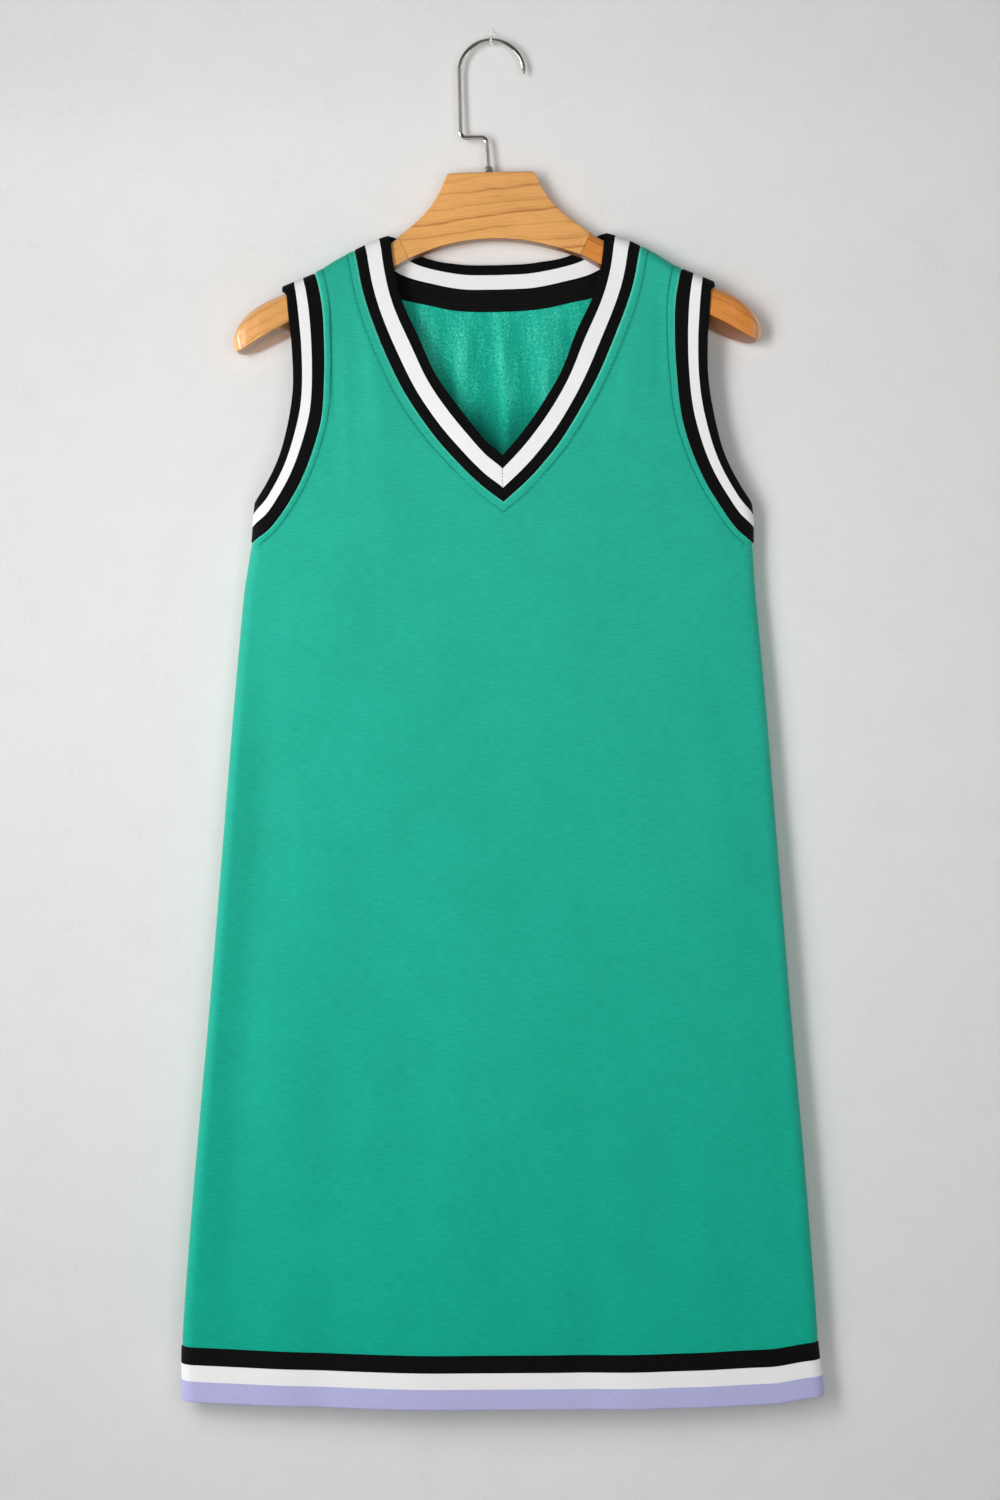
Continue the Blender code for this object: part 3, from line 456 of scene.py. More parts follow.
# Area lights: the setting that holds their power, and the part of it that the light has
MIDDLE = (0.0, 0.0, -0.4)
RIGHT = (0.5, 0.0, -0.5)
ALONG = (0.0, -0.02, -0.5)
HANGER = (0.0, 0.0, -0.2)
Lamp = namedtuple("Lamp", "name place target size power share", defaults=(1.0,))
LAMPS = (
    Lamp("key", (-0.8, -2.0, -0.3), RIGHT, (0.36, 1.0), "key_power"),
    Lamp("fill", (-0.35, -1.0, -0.4), RIGHT, (0.5, 0.5), "fill_power"),
    Lamp("front", (0.32, -2.1, -0.5), MIDDLE, (1.1, 1.1), "front_power"),
    Lamp("rim", (-1.7, -0.05, -0.5), ALONG, (0.1, 1.3), "rim_power"),
    Lamp("rim_right", (1.7, -0.05, -0.5), ALONG, (0.1, 1.3), "rim_power", 0.25),
    Lamp("gloss_spot", (-1.6, -0.9, -0.3), HANGER, (0.5, 0.7), "gloss_power", 1.3),
    Lamp("gloss_high_left", (-1.1, -1.8, 0.35), HANGER, (0.3, 0.8), "gloss_power", 0.35),
    Lamp("gloss_high_right", (0.9, -1.9, 0.35), HANGER, (0.3, 0.8), "gloss_power", 0.35),
    Lamp("gloss_left", (-2.0, -0.4, -0.3), HANGER, (1.0, 2.0), "gloss_power"),
    Lamp("gloss_right", (2.0, -0.5, -0.3), HANGER, (1.0, 2.0), "gloss_power"),
    Lamp("gloss_low", (0.1, -1.4, -1.45), HANGER, (1.6, 0.8), "gloss_power", 0.5),
    Lamp("gloss_top", (0.0, -1.0, 1.0), HANGER, (1.2, 0.6), "gloss_power", 0.15),
    Lamp("back_left", (1.4, 2.2, 0.2), MIDDLE, (1.2, 1.2), "back_power"),
    Lamp("back_right", (-1.6, 1.8, -0.7), MIDDLE, (1.2, 1.2), "back_power", 0.6),
)
NOT_GLOSSY = ("key", "fill", "front")
NOT_ON_WALL = ("rim_right", "back_left", "back_right")


# ---------------------------------------------------------------- user settings


def colour_setting(name, description, default):
    return bpy.props.FloatVectorProperty(
        name=name, description=description, default=default, subtype="COLOR", min=0.0, max=1.0
    )


def length_setting(name, description, default):
    return bpy.props.FloatProperty(
        name=name, description=description, default=default, unit="LENGTH", min=0.0, precision=5
    )


def power_setting(name, description, default):
    return bpy.props.FloatProperty(
        name=name, description=description, default=default, unit="POWER", min=0.0
    )


class DressSettings(bpy.types.PropertyGroup):
    """Sizes and colours of the dress."""

    panel_wall: length_setting("Terry Thickness", "Thickness of the French terry", 1.6 * MM)
    band_wall: length_setting("Band Thickness", "Thickness of a doubled rib band", 2.4 * MM)
    tape_wall: length_setting("Tape Thickness", "Thickness of the tape inside the neck", 1.0 * MM)
    neck_stitch_distance: length_setting(
        "Neck Topstitch", "Distance of the topstitching from the neckband's seam", 6.2 * MM
    )
    arm_stitch_distance: length_setting(
        "Armhole Topstitch", "Distance of the topstitching from an armhole band's seam", 5.9 * MM
    )
    stitch_length: length_setting("Stitch Length", "Length of one stitch", 2.3 * MM)
    thread_radius: length_setting("Thread Radius", "Radius of the sewing thread", 0.3 * MM)
    crease_strength: bpy.props.FloatProperty(
        name="Crease Strength", description="How deep the small creases are", default=1.0, min=0.0
    )
    panel_colour: colour_setting("Terry", "Colour of the panels", (0.0215, 0.359, 0.254))
    inside_colour: colour_setting("Terry Inside", "Colour of the loops", (0.012, 0.392, 0.278))
    black_colour: colour_setting("Black", "Colour of the black stripes and tape", (0.0042,) * 3)
    white_colour: colour_setting("White Trim", "Colour of the trim's white", (0.745, 0.75, 0.755))
    hem_white_colour: colour_setting("White Hem", "Colour of the hem's white", (0.765,) * 3)
    lilac_colour: colour_setting("Lilac", "Colour of the lilac stripe", (0.415, 0.415, 0.665))
    thread_colour: colour_setting("Thread", "Colour of the topstitching", (0.008, 0.23, 0.165))
    tape_thread_colour: colour_setting("Tape Thread", "Colour on the tape", (0.012, 0.012, 0.013))
    # Dark grey, partly the thread's colour and partly painted shade of the mitre's seam line
    mitre_thread_colour: colour_setting("Mitre Thread", "Colour at the V", (0.06, 0.06, 0.065))


class HangerSettings(bpy.types.PropertyGroup):
    """Sizes and colours of the hanger."""

    wire_radius: length_setting("Wire Radius", "Radius of the hook's wire", 1.75 * MM)
    collar_radius: length_setting("Collar Radius", "Radius of the collar on the wood", 4.1 * MM)
    board_colour: colour_setting("Board", "Colour of the board", (0.685, 0.338, 0.106))
    left_arm_colour: colour_setting("Left Arm", "Colour of the left arm", (0.65, 0.32, 0.100))
    right_arm_colour: colour_setting("Right Arm", "Colour of the right arm", (0.60, 0.220, 0.044))
    wire_colour: colour_setting("Nickel", "Colour of the wire and collar", (0.58, 0.545, 0.50))


class StudioSettings(bpy.types.PropertyGroup):
    """The wall, the light and the camera."""

    wall_y: length_setting("Wall", "How far behind the hook the wall is", 0.0125)
    wall_bow: length_setting("Wall Bow", "How much further back the wall is at the hanger", 0.0115)
    skirt_bow: length_setting("Skirt Bow", "How much further back again it is at the skirt", 0.009)
    camera_distance: length_setting("Camera Distance", "Camera to the hook's plane", 2.0)
    frame_height: length_setting("Frame Height", "Height that the camera sees", 1.197)
    wall_colour: colour_setting("Wall Paint", "Colour of the wall", (0.68, 0.677, 0.67))
    loop_colour: colour_setting("Loop", "Colour of the clear loop", (0.94, 0.94, 0.92))
    key_power: power_setting("Key Light", "Power of the tall key light on the left", 17.4)
    fill_power: power_setting("Fill Light", "Power of the small fill light in front", 5.5)
    front_power: power_setting("Front Light", "Power of the soft light in front", 14.1)
    rim_power: power_setting("Rim Light", "Power of the lights along the wall", 17.0)
    gloss_power: power_setting("Gloss Lights", "Power of the cards that only gloss shows", 4.5)
    back_power: power_setting("Back Light", "Power of the lights behind the wall", 22.0)
    sky_strength: bpy.props.FloatProperty(
        name="Sky", description="Strength of the light from all round", default=0.08, min=0.0
    )


# ---------------------------------------------------------------- form of the cloth


def profile(rows, column):
    """A smooth function of a table's first column (both in mm), without overshoot."""
    rows = sorted(rows, key=lambda row: row[0])
    xs = np.array([row[0] for row in rows]) * MM
    ys = np.array([getattr(row, column) for row in rows]) * MM
    steps = np.diff(xs)
    slopes = np.diff(ys) / steps
    tangents = np.zeros(len(xs))
    tangents[0], tangents[-1] = slopes[0], slopes[-1]
    for i in range(1, len(xs) - 1):
        if slopes[i - 1] * slopes[i] > 0:
            before = 2 * steps[i] + steps[i - 1]
            after = steps[i] + 2 * steps[i - 1]
            tangents[i] = (before + after) / (before / slopes[i - 1] + after / slopes[i])

    def value(x):
        x = np.clip(x, xs[0], xs[-1])
        i = np.minimum(np.searchsorted(xs, x, side="right") - 1, len(steps) - 1)
        t = (x - xs[i]) / steps[i]
        rise = t * t * (3 - 2 * t)
        bend = steps[i] * t * (1 - t)
        return (
            (1 - rise) * ys[i]
            + rise * ys[i + 1]
            + bend * ((1 - t) * tangents[i] - t * tangents[i + 1])
        )

    return value


half_width = profile(BODY, "half_width")
body_depth = {FRONT: profile(BODY, "front_depth"), BACK: profile(BODY, "back_depth")}
shoulder_top = profile(SHOULDER, "top")
shoulder_rise = profile(SHOULDER_LIFTS, "height")
shoulder_reach = {
    FRONT: profile(SHOULDER, "front_reach"),
    BACK: profile(SHOULDER, "back_reach"),
}


def ease(t):
    t = np.clip(t, 0.0, 1.0)
    return t * t * (3 - 2 * t)


def quarter_round(t):
    """Square of a quarter circle's height at the share t of its radius from the edge."""
    return np.where(t < 1, t * (2 - t), 1.0)


def fold_share(x, z, side):
    """How much the broad folds add to the cloth's depth, as a share of it."""
    total = np.zeros_like(x)
    for fold in FOLDS:
        if fold.side != side:
            continue
        along = (fold.top * MM - z) / ((fold.top - fold.bottom) * MM)
        middle = fold.x * MM + fold.slant * (fold.top * MM - z)
        across = (x - middle) / (fold.width * MM)
        strength = ease(along / FOLD_GROWTH) * ease((1 - along) / FOLD_GROWTH)
        total += fold.height * strength * np.exp(-across * across)
    return total


def crease_share(crease, number, x, z):
    """Share of a crease's full height at a place of the cloth."""
    run_x, run_z = (crease.foot_x - crease.x) * MM, (crease.foot_z - crease.z) * MM
    length = math.hypot(run_x, run_z)
    dx, dz = x - crease.x * MM, z - crease.z * MM
    along = (dx * run_x + dz * run_z) / length**2
    across = (dx * run_z - dz * run_x) / length
    across = across + min(CREASE_WANDER, 0.2 * crease.width * MM) * np.sin(5.0 * along + number)
    strength = ease(along / CREASE_GROWTH) * ease((1 - along) / CREASE_GROWTH)
    return strength * np.exp(-((across / (crease.width * MM)) ** 2))


def crease_height(x, z, side):
    """Height of the small creases and of the cloth's unevenness above its form."""
    total = np.zeros_like(x)
    for ripple in RIPPLES:
        turn = x / (ripple.across * MM) + z / (ripple.down * MM)
        total += ripple.height * MM * np.sin(2 * math.pi * turn + ripple.phase + side)
    for number, crease in enumerate(CREASES):
        if crease.side == side:
            total += crease.height * MM * crease_share(crease, number, x, z)
    free = ease((shoulder_top(np.abs(x)) - z) / CREASE_FREE_BELOW_FOLD)
    return total * free * bpy.context.scene.dress_settings.crease_strength


def depth_squared(x, z, side):
    """Square of the cloth's distance from the tube's middle plane."""
    across = np.abs(x)
    width = half_width(z)
    inset = width - across
    full = body_depth[side](z)
    tube = SIDE_ROLL**2 * quarter_round(inset / SIDE_ROLL)
    tube = tube + (full**2 - SIDE_ROLL**2) * quarter_round(inset / width)
    drop = shoulder_top(across) - z
    settled = ease(drop / SETTLE)
    reach = shoulder_reach[side](across)
    square = settled * tube + (1 - settled) * reach**2
    return square * quarter_round(drop / SHOULDER_RISE) * (1 + fold_share(x, z, side)) ** 2


def height_at(x, run):
    """Height of the cloth at a distance run down from the shoulder fold."""
    run = np.abs(run)
    turning = SHOULDER_RISE * (1 - np.cos(np.minimum(run / SHOULDER_RUN, 1) * math.pi / 2))
    return shoulder_top(np.abs(x)) - turning - np.maximum(run - SHOULDER_RUN, 0)


def run_at(x, z):
    """Distance down from the shoulder fold to a height below the fold's round."""
    return shoulder_top(np.abs(x)) - SHOULDER_RISE - z + SHOULDER_RUN


def tilted(points):
    """Points of the upright hanger, turned to the lean that it hangs with."""
    points = np.asarray(points, float)
    sine, cosine = math.sin(TILT), math.cos(TILT)
    x, y, z = points[:, 0], points[:, 1], points[:, 2]
    return np.column_stack((x * cosine - z * sine, y, x * sine + z * cosine))


def neck_shift(x, y, z):
    """How far the front hangs sideways round the V of the neck, which isn't quite even."""
    total = np.zeros_like(x)
    for shift in NECK_SHIFTS:
        away = (z - shift.z * MM) / (shift.height * MM)
        inward = ease((shift.side * x - shift.start * MM) / (shift.reach * MM))
        outward = ease((NECK_SHIFT_END - shift.side * x) / NECK_SHIFT_FADE)
        total += shift.shift * MM * np.exp(-away * away) * inward * outward
    return total * ease(-y / NECK_SHIFT_DEPTH)


def shoulder_lift(x, z):
    """How far the shoulders lie above their place on an even hanger."""
    return shoulder_rise(x) * ease((z - LIFT_BELOW_Z) / LIFT_FADE)


def lean(points):
    """The upper dress leans with the hanger, and the skirt hangs straight below it."""
    points = points.copy()
    points[:, 0] += neck_shift(*points.T)
    points[:, 2] += shoulder_lift(points[:, 0], points[:, 2])
    z = points[:, 2]
    share = ease((z - LEAN_BOTTOM_Z) / (LEAN_TOP_Z - LEAN_BOTTOM_Z))[:, None]
    leaning = tilted(points + np.array((SHOULDER_SHIFT, 0, 0)))
    held = ease((z - LEVEL_BELOW_Z) / (LEVEL_ABOVE_Z - LEVEL_BELOW_Z))
    leaning[:, 2] = z + held * (leaning[:, 2] - z)
    hanging = points.copy()
    band_share = (HEM_SEAM_SIDE_Z - z) / (HEM_SEAM_SIDE_Z - HEM_EDGE_SIDE_Z)
    hanging[:, 0] += BODY_SHIFT + HEM_SWAY * ease(band_share)
    lifting = ease((points[:, 0] - HEM_LIFT_X) / HEM_LIFT_REACH)
    hanging[:, 2] += HEM_LIFT * lifting * ease((HEM_LIFT_Z - z) / HEM_LIFT_FADE)
    return share * leaning + (1 - share) * hanging


def cloth_points(spots, off):
    """Points of the cloth at pattern spots, moved out by off along its normal."""
    spots = np.asarray(spots, float)
    off = np.broadcast_to(off, len(spots))
    x, run = spots[:, 0], spots[:, 1]
    z = height_at(x, run)
    found = np.zeros((len(spots), 3))
    for side in (FRONT, BACK):
        mine = (run >= 0) if side == FRONT else (run < 0)
        if not mine.any():
            continue
        mx, mz = x[mine], z[mine]
        y = -side * np.sqrt(np.maximum(depth_squared(mx, mz, side), 0.0))
        step = NORMAL_STEP
        slope_x = depth_squared(mx + step, mz, side) - depth_squared(mx - step, mz, side)
        slope_z = depth_squared(mx, mz + step, side) - depth_squared(mx, mz - step, side)
        normal = np.column_stack((-slope_x / (2 * step), 2 * y, -slope_z / (2 * step)))
        normal /= np.maximum(np.linalg.norm(normal, axis=1), 1e-12)[:, None]
        lift = off[mine] + crease_height(mx, mz, side) * ease(np.abs(y) / SIDE_ROLL)
        found[mine] = np.column_stack((mx, y, mz)) + lift[:, None] * normal
    return lean(found)


# ---------------------------------------------------------------- edges of the pattern


def smooth_line(points, samples):
    """A Catmull-Rom curve through points of the pattern, as that many samples."""
    points = np.array(points)
    padded = np.vstack((2 * points[0] - points[1], points, 2 * points[-1] - points[-2]))
    share = np.linspace(0, len(points) - 1, samples)
    i = np.minimum(share.astype(int), len(points) - 2)
    t = (share - i)[:, None]
    a, b, c, d = (padded[i + k] for k in range(4))
    steady = 2 * b + (c - a) * t
    bending = (2 * a - 5 * b + 4 * c - d) * t * t + (3 * b - a - 3 * c + d) * t**3
    return 0.5 * (steady + bending)


def length_along(points):
    steps = np.linalg.norm(np.diff(points, axis=0), axis=1)
    return np.concatenate(([0.0], np.cumsum(steps)))


def at_lengths(line, length, wanted):
    return np.column_stack([np.interp(wanted, length, line[:, k]) for k in range(line.shape[1])])


def edge(rows, fold_x, side, count, crowding, first=()):
    """Stations of an edge, from its lowest point up to the shoulder fold."""
    points = [(x * MM, float(run_at(x * MM, z * MM))) for x, z in rows]
    line = smooth_line(points + [(fold_x, 0.0)], EDGE_SAMPLES)
    round_x = np.interp(FOLD_RUNS, line[::-1, 1], line[::-1, 0])
    straight = line[line[:, 1] > SHOULDER_RUN]
    share = np.linspace(0, 1, 2 * len(straight)) ** 2 * (len(straight) - 1)
    straight = at_lengths(straight, np.arange(len(straight)), share)
    length = length_along(cloth_points(straight, 0.0))
    wanted = length[-1] * np.linspace(0.0, 1.0, count) ** crowding
    if len(first):
        wanted = np.concatenate((first, np.linspace(first[-1], length[-1], count + 1)[1:]))
    stations = at_lengths(straight, length, wanted)
    stations = np.vstack((stations, np.column_stack((round_x, FOLD_RUNS))))
    stations[:, 1] *= side
    return stations


def neck_edges(side):
    """Free edge and seam of the neckband's right half on one side, up to the fold."""
    first = MITRE_STEPS if side == FRONT else ()
    count = NECK_STATIONS[side]
    return (
        edge(NECK_OPENING[side], NECK_OPENING_FOLD, side, count, 1.0, first),
        edge(NECK_SEAM[side], NECK_SEAM_FOLD, side, count, 1.0, first),
    )


def arm_edges(side):
    """Free edge and seam of the right armhole band on one side, up to the fold."""
    return (
        edge(ARM_OPENING, ARM_OPENING_FOLD, side, ARM_STATIONS, ARM_CROWDING),
        edge(ARM_SEAM, ARM_SEAM_FOLD, side, ARM_STATIONS, ARM_CROWDING),
    )


def unit_rows(vectors):
    return vectors / np.maximum(np.linalg.norm(vectors, axis=1), 1e-12)[:, None]


def past_seam(free_edge, seam, distance):
    """Spots a short distance beyond the seam, on the panel's side of it."""
    return seam + unit_rows(seam - free_edge) * distance


def mirrored(spots):
    return spots * np.array((-1.0, 1.0))


def on_right_half(spots):
    """The spots, with those of the left half mirrored to the right."""
    return np.column_stack((np.abs(spots[:, 0]), spots[:, 1]))


def side_seam_x(z):
    """Where a panel stops at the side fold, half a seam gap short of it."""
    return half_width(z) - SEAM_HALF_GAP**2 / (2 * SIDE_ROLL)


def distance_to_line(spots, line):
    """Shortest distance of each spot from a line of the pattern."""
    start, run = line[:-1], np.diff(line, axis=0)
    size = np.maximum((run**2).sum(axis=1), 1e-18)
    best = np.full(len(spots), 1.0)
    for a, b, s in zip(start, run, size):
        t = np.clip(((spots - a) @ b) / s, 0, 1)
        away = spots - a - t[:, None] * b
        best = np.minimum(best, np.hypot(away[:, 0], away[:, 1]))
    return best


# ---------------------------------------------------------------- meshes


def smooth_mesh(name, points, faces, materials):
    """A smooth mesh object in the scene."""
    mesh = bpy.data.meshes.new(name)
    mesh.from_pydata(np.asarray(points).tolist(), [], [list(map(int, f)) for f in faces])
    for material in materials:
        mesh.materials.append(material)
    mesh.shade_smooth()
    made = bpy.data.objects.new(name, mesh)
    bpy.context.scene.collection.objects.link(made)
    return made


def new_object(name, points, faces, materials, slots=None, corner_uv=None):
    """A mesh object of the dress or the hanger, which rides on the frame."""
    made = smooth_mesh(name, points, faces, materials)
    mesh = made.data
    if slots is not None:
        mesh.polygons.foreach_set("material_index", np.asarray(slots, np.int32))
    if corner_uv is not None:
        layer = mesh.uv_layers.new(name="cloth")
        layer.uv.foreach_set("vector", np.asarray(corner_uv, np.float32).ravel())
    mesh.set_sharp_from_angle(angle=SHARP_ANGLE)
    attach(made, "root")
    return made


def volume_of(points, quads):
    a, b, c, d = (points[quads[:, k]] for k in range(4))
    return float((a * np.cross(b, c)).sum() + (a * np.cross(c, d)).sum())


def cloth_wall(name, spots, quads, uv, outer, inner, slots, inner_slots, materials):
    """A closed wall of cloth: pattern quads moved out to both faces, and its rim closed.

    uv holds the pattern place of each quad corner, in metres.
    """
    count = len(spots)
    points = np.vstack((cloth_points(spots, outer), cloth_points(spots, inner)))
    start, end = quads.ravel(), np.roll(quads, -1, axis=1).ravel()
    start_uv, end_uv = uv.reshape(-1, 2), np.roll(uv, -1, axis=1).reshape(-1, 2)
    key = np.minimum(start, end) * (2 * count) + np.maximum(start, end)
    _, index, uses = np.unique(key, return_inverse=True, return_counts=True)
    rim = uses[index.reshape(-1)] == 1
    start, end, start_uv, end_uv = start[rim], end[rim], start_uv[rim], end_uv[rim]
    rim_quads = np.column_stack((end, start, start + count, end + count))
    rim_uv = np.stack((end_uv, start_uv, start_uv, end_uv), axis=1)
    rim_slots = np.repeat(slots, 4)[rim]
    faces = np.vstack((quads, quads[:, ::-1] + count, rim_quads))
    corner_uv = np.concatenate((uv, uv[:, ::-1], rim_uv))
    face_slots = np.concatenate((slots, inner_slots, rim_slots))
    if volume_of(points, faces) < 0:
        faces, corner_uv = faces[:, ::-1], corner_uv[:, ::-1]
    return new_object(name, points, faces, materials, face_slots, corner_uv)


def circle(sides):
    """Cosine and sine of every corner of a regular outline."""
    turns = np.linspace(0, 2 * math.pi, sides, endpoint=False)
    return [(math.cos(turn), math.sin(turn)) for turn in turns]


def quad_grid(rows, columns, closed=False):
    """Row and column of each corner of each quad of a grid."""
    last = rows if closed else rows - 1
    i, j = np.meshgrid(np.arange(last), np.arange(columns - 1), indexing="ij")
    i, j = i.ravel(), j.ravel()
    return np.stack((i, i, i + 1, i + 1), 1), np.stack((j, j + 1, j + 1, j), 1)


def stand_for(piece, node):
    """Hides the solid that a piece is drawn in place of."""
    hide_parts(node)
    return piece


def declare(piece, node):
    """Hides the solid that a sheet of cloth stands for."""
    stand_for(piece, node)


# ---------------------------------------------------------------- finishes


class Finish:
    """A material and a short way to add nodes to it."""

    def __init__(self, name, roughness, **values):
        self.material = bpy.data.materials.new(name)
        self.material.use_nodes = True
        self.nodes = self.material.node_tree.nodes
        self.links = self.material.node_tree.links
        self.shader = self.nodes["Principled BSDF"]
        self.put(self.shader, Roughness=roughness, **values)

    def put(self, node, **values):
        for socket, value in values.items():
            self.set(node, socket.replace("_", " "), value)

    def set(self, node, socket, value):
        if isinstance(value, bpy.types.NodeSocket):
            self.links.new(value, node.inputs[socket])
        else:
            node.inputs[socket].default_value = value

    def colour(self, value):
        self.set(self.shader, "Base Color", value)

    def math(self, operation, a, b=0.0, c=0.0):
        node = self.nodes.new("ShaderNodeMath")
        node.operation = operation
        for number, value in enumerate((a, b, c)):
            self.set(node, number, value)
        return node.outputs[0]

    def pattern(self):
        """Pattern coordinates of the cloth, in metres, as two sockets and a vector."""
        node = self.nodes.new("ShaderNodeUVMap")
        node.uv_map = "cloth"
        split = self.nodes.new("ShaderNodeSeparateXYZ")
        self.set(split, "Vector", node.outputs["UV"])
        return split.outputs["X"], split.outputs["Y"], node.outputs["UV"]

    def wear(self):
        """Painted light (positive) or painted shade of the cloth, as build_panel stores it."""
        node = self.nodes.new("ShaderNodeAttribute")
        node.attribute_name = "wear"
        return node.outputs["Fac"]

    def place(self):
        node = self.nodes.new("ShaderNodeTexCoord")
        return node.outputs["Object"]

    def mapped(self, vector, scale, turn=(0.0, 0.0, 0.0)):
        node = self.nodes.new("ShaderNodeMapping")
        self.put(node, Vector=vector, Scale=scale, Rotation=turn)
        return node.outputs["Vector"]

    def noise(self, vector, scale, detail=3.0, roughness=0.55):
        node = self.nodes.new("ShaderNodeTexNoise")
        self.put(node, Vector=vector, Scale=scale, Detail=detail, Roughness=roughness)
        return node.outputs["Fac"]

    def streaks(self, vector, scale, detail=3.0, roughness=0.55, turn=(0.0, 0.0, 0.0)):
        """Noise that is finer along some axes of the vector than along others."""
        return self.noise(self.mapped(vector, scale, turn), 1.0, detail, roughness)

    def wave(self, value, length):
        """A sine that repeats over a length of the value."""
        return self.math("SINE", self.math("MULTIPLY", value, 2 * math.pi / length))

    def ramp(self, value, stops):
        """A colour ramp of (place, colour) stops."""
        node = self.nodes.new("ShaderNodeValToRGB")
        self.set(node, "Fac", value)
        elements = node.color_ramp.elements
        while len(elements) < len(stops):
            elements.new(0.5)
        for element, (place, colour) in zip(elements, stops):
            element.position = place
            element.color = (*colour, 1.0)
        return node.outputs["Color"]

    def shaded_towards_hem(self, run, colour, shade_at_hem):
        """The colour with painted shade: multiplied by its factor at the hem and less so towards
        the shoulders.
        """
        depth = self.math("ABSOLUTE", run)
        share = self.math("MULTIPLY_ADD", depth, 1 / HEM_SHADE_REACH, -HEM_SHADE_START / HEM_SHADE_REACH)
        node = self.nodes.new("ShaderNodeMix")
        node.data_type = "RGBA"
        node.blend_type = "MULTIPLY"
        node.inputs[0].default_value = 1.0
        self.links.new(colour, node.inputs[6])
        self.links.new(self.ramp(share, ((0.0, (1.0, 1.0, 1.0)), (1.0, shade_at_hem))), node.inputs[7])
        return node.outputs[2]

    def bump(self, height, distance, strength):
        node = self.nodes.new("ShaderNodeBump")
        self.put(node, Height=height, Distance=distance, Strength=strength)
        self.set(self.shader, "Normal", node.outputs["Normal"])


def shade(colour, factor):
    return tuple(min(channel * factor, 1.0) for channel in colour)


def mixed(colour, other, share):
    return tuple(a + share * (b - a) for a, b in zip(colour, other))


def spread(value, low, high):
    """Two stops of a ramp round the middle of a noise."""
    return ((0.5 - value, low), (0.5 + value, high))


def terry_face(name, colour):
    """Smooth outside of French terry: fine stitches and a faint heather along the courses."""
    sheen = {"Sheen_Weight": 0.13, "Sheen_Roughness": 0.2, "Sheen_Tint": (0.2, 1.0, 0.85, 1.0)}
    made = Finish(name, 0.58, Specular_IOR_Level=0.07, **sheen)
    x, run, uv = made.pattern()
    heather = made.streaks(uv, (120.0, 850.0, 1.0), 3.0, 0.65)
    cloud = made.noise(made.mapped(uv, (1.0, 1.3, 1.0)), 22.0, 3.0, 0.6)
    value = made.math("MULTIPLY_ADD", cloud, 0.22, made.math("MULTIPLY", heather, 0.78))
    # Painted light and shade shift the ramp; the whitened top stop is the painted seam highlight
    painted_value = made.math("MULTIPLY_ADD", made.wear(), 0.5, value)
    stops = ((0.0, shade(colour, 0.45)), (0.3, shade(colour, 0.87)), (0.7, shade(colour, 1.12)))
    tone = made.ramp(painted_value, stops + ((1.0, mixed(shade(colour, 1.5), (1.0, 1.0, 1.0), 0.06)),))
    # Painted shade: the terry darkens towards the hem.
    made.colour(made.shaded_towards_hem(run, tone, HEM_SHADE))
    wale = made.math("ABSOLUTE", made.wave(x, 2 * WALE_WIDTH))
    course = made.math("MULTIPLY", run, 2 * math.pi / COURSE_HEIGHT)
    course = made.math("MULTIPLY_ADD", wale, 1.4, course)
    knit = made.math("MULTIPLY_ADD", made.math("SINE", course), 0.4, wale)
    height = made.math("MULTIPLY_ADD", heather, 1.2, made.math("MULTIPLY", knit, 0.35))
    made.bump(height, 0.14 * MM, 0.5)
    return made.material


def terry_loops(name, colour):
    """Looped inside of French terry, in slanting rows."""
    tint = (*shade(colour, 1.8), 1.0)
    sheen = {"Sheen_Weight": 0.03, "Sheen_Roughness": 0.35, "Sheen_Tint": tint}
    made = Finish(name, 0.8, Specular_IOR_Level=0.08, **sheen)
    uv = made.pattern()[2]
    rows = []
    for turn, strength in ((0.75, 1.5), (-0.85, 1.0)):
        slanting = made.mapped(uv, (1.0, 1.0, 1.0), (0.0, 0.0, turn))
        row = made.streaks(slanting, (1150.0, 330.0, 1.0), 2.0, 0.6)
        rows.append(made.math("MULTIPLY", made.math("SUBTRACT", row, 0.5), strength))
    patch = made.streaks(uv, (140.0, 26.0, 1.0), 2.0, 0.5)
    strong = made.math("MULTIPLY_ADD", patch, 1.5, 0.15)
    level = made.math("MULTIPLY_ADD", patch, 0.5, 0.25)
    value = made.math("MULTIPLY_ADD", made.math("ADD", *rows), strong, level)
    # Painted fold light and shade and the painted shadow below the V; the whitened top stop is
    # highlight
    value = made.math("MULTIPLY_ADD", made.wear(), 0.42, value)
    bright = mixed(shade(colour, 1.6), (1.0, 1.0, 1.0), 0.07)
    stops = ((0.0, shade(colour, 0.5)), (0.5, colour), (1.0, bright))
    made.colour(made.ramp(value, stops))
    made.bump(value, 0.3 * MM, 0.8)
    return made.material


def rib_knit(name, colour, depth):
    """Rib knit whose ridges run across its band."""
    made = Finish(name, 0.9, Specular_IOR_Level=0.1)
    along, across, uv = made.pattern()
    ridge = made.wave(along, RIB_WIDTH)
    fibre = made.streaks(uv, (900.0, 260.0, 1.0), 3.0, 0.6)
    value = made.math("MULTIPLY_ADD", ridge, 0.16, fibre)
    low, high = shade(colour, 1 - depth), shade(colour, 1 + depth * 0.6)
    made.colour(made.ramp(value, spread(0.3, low, high)))
    height = made.math("MULTIPLY_ADD", made.wave(across, RIB_COURSE), 0.12, value)
    made.bump(height, 0.25 * MM, 0.6)
    return made.material


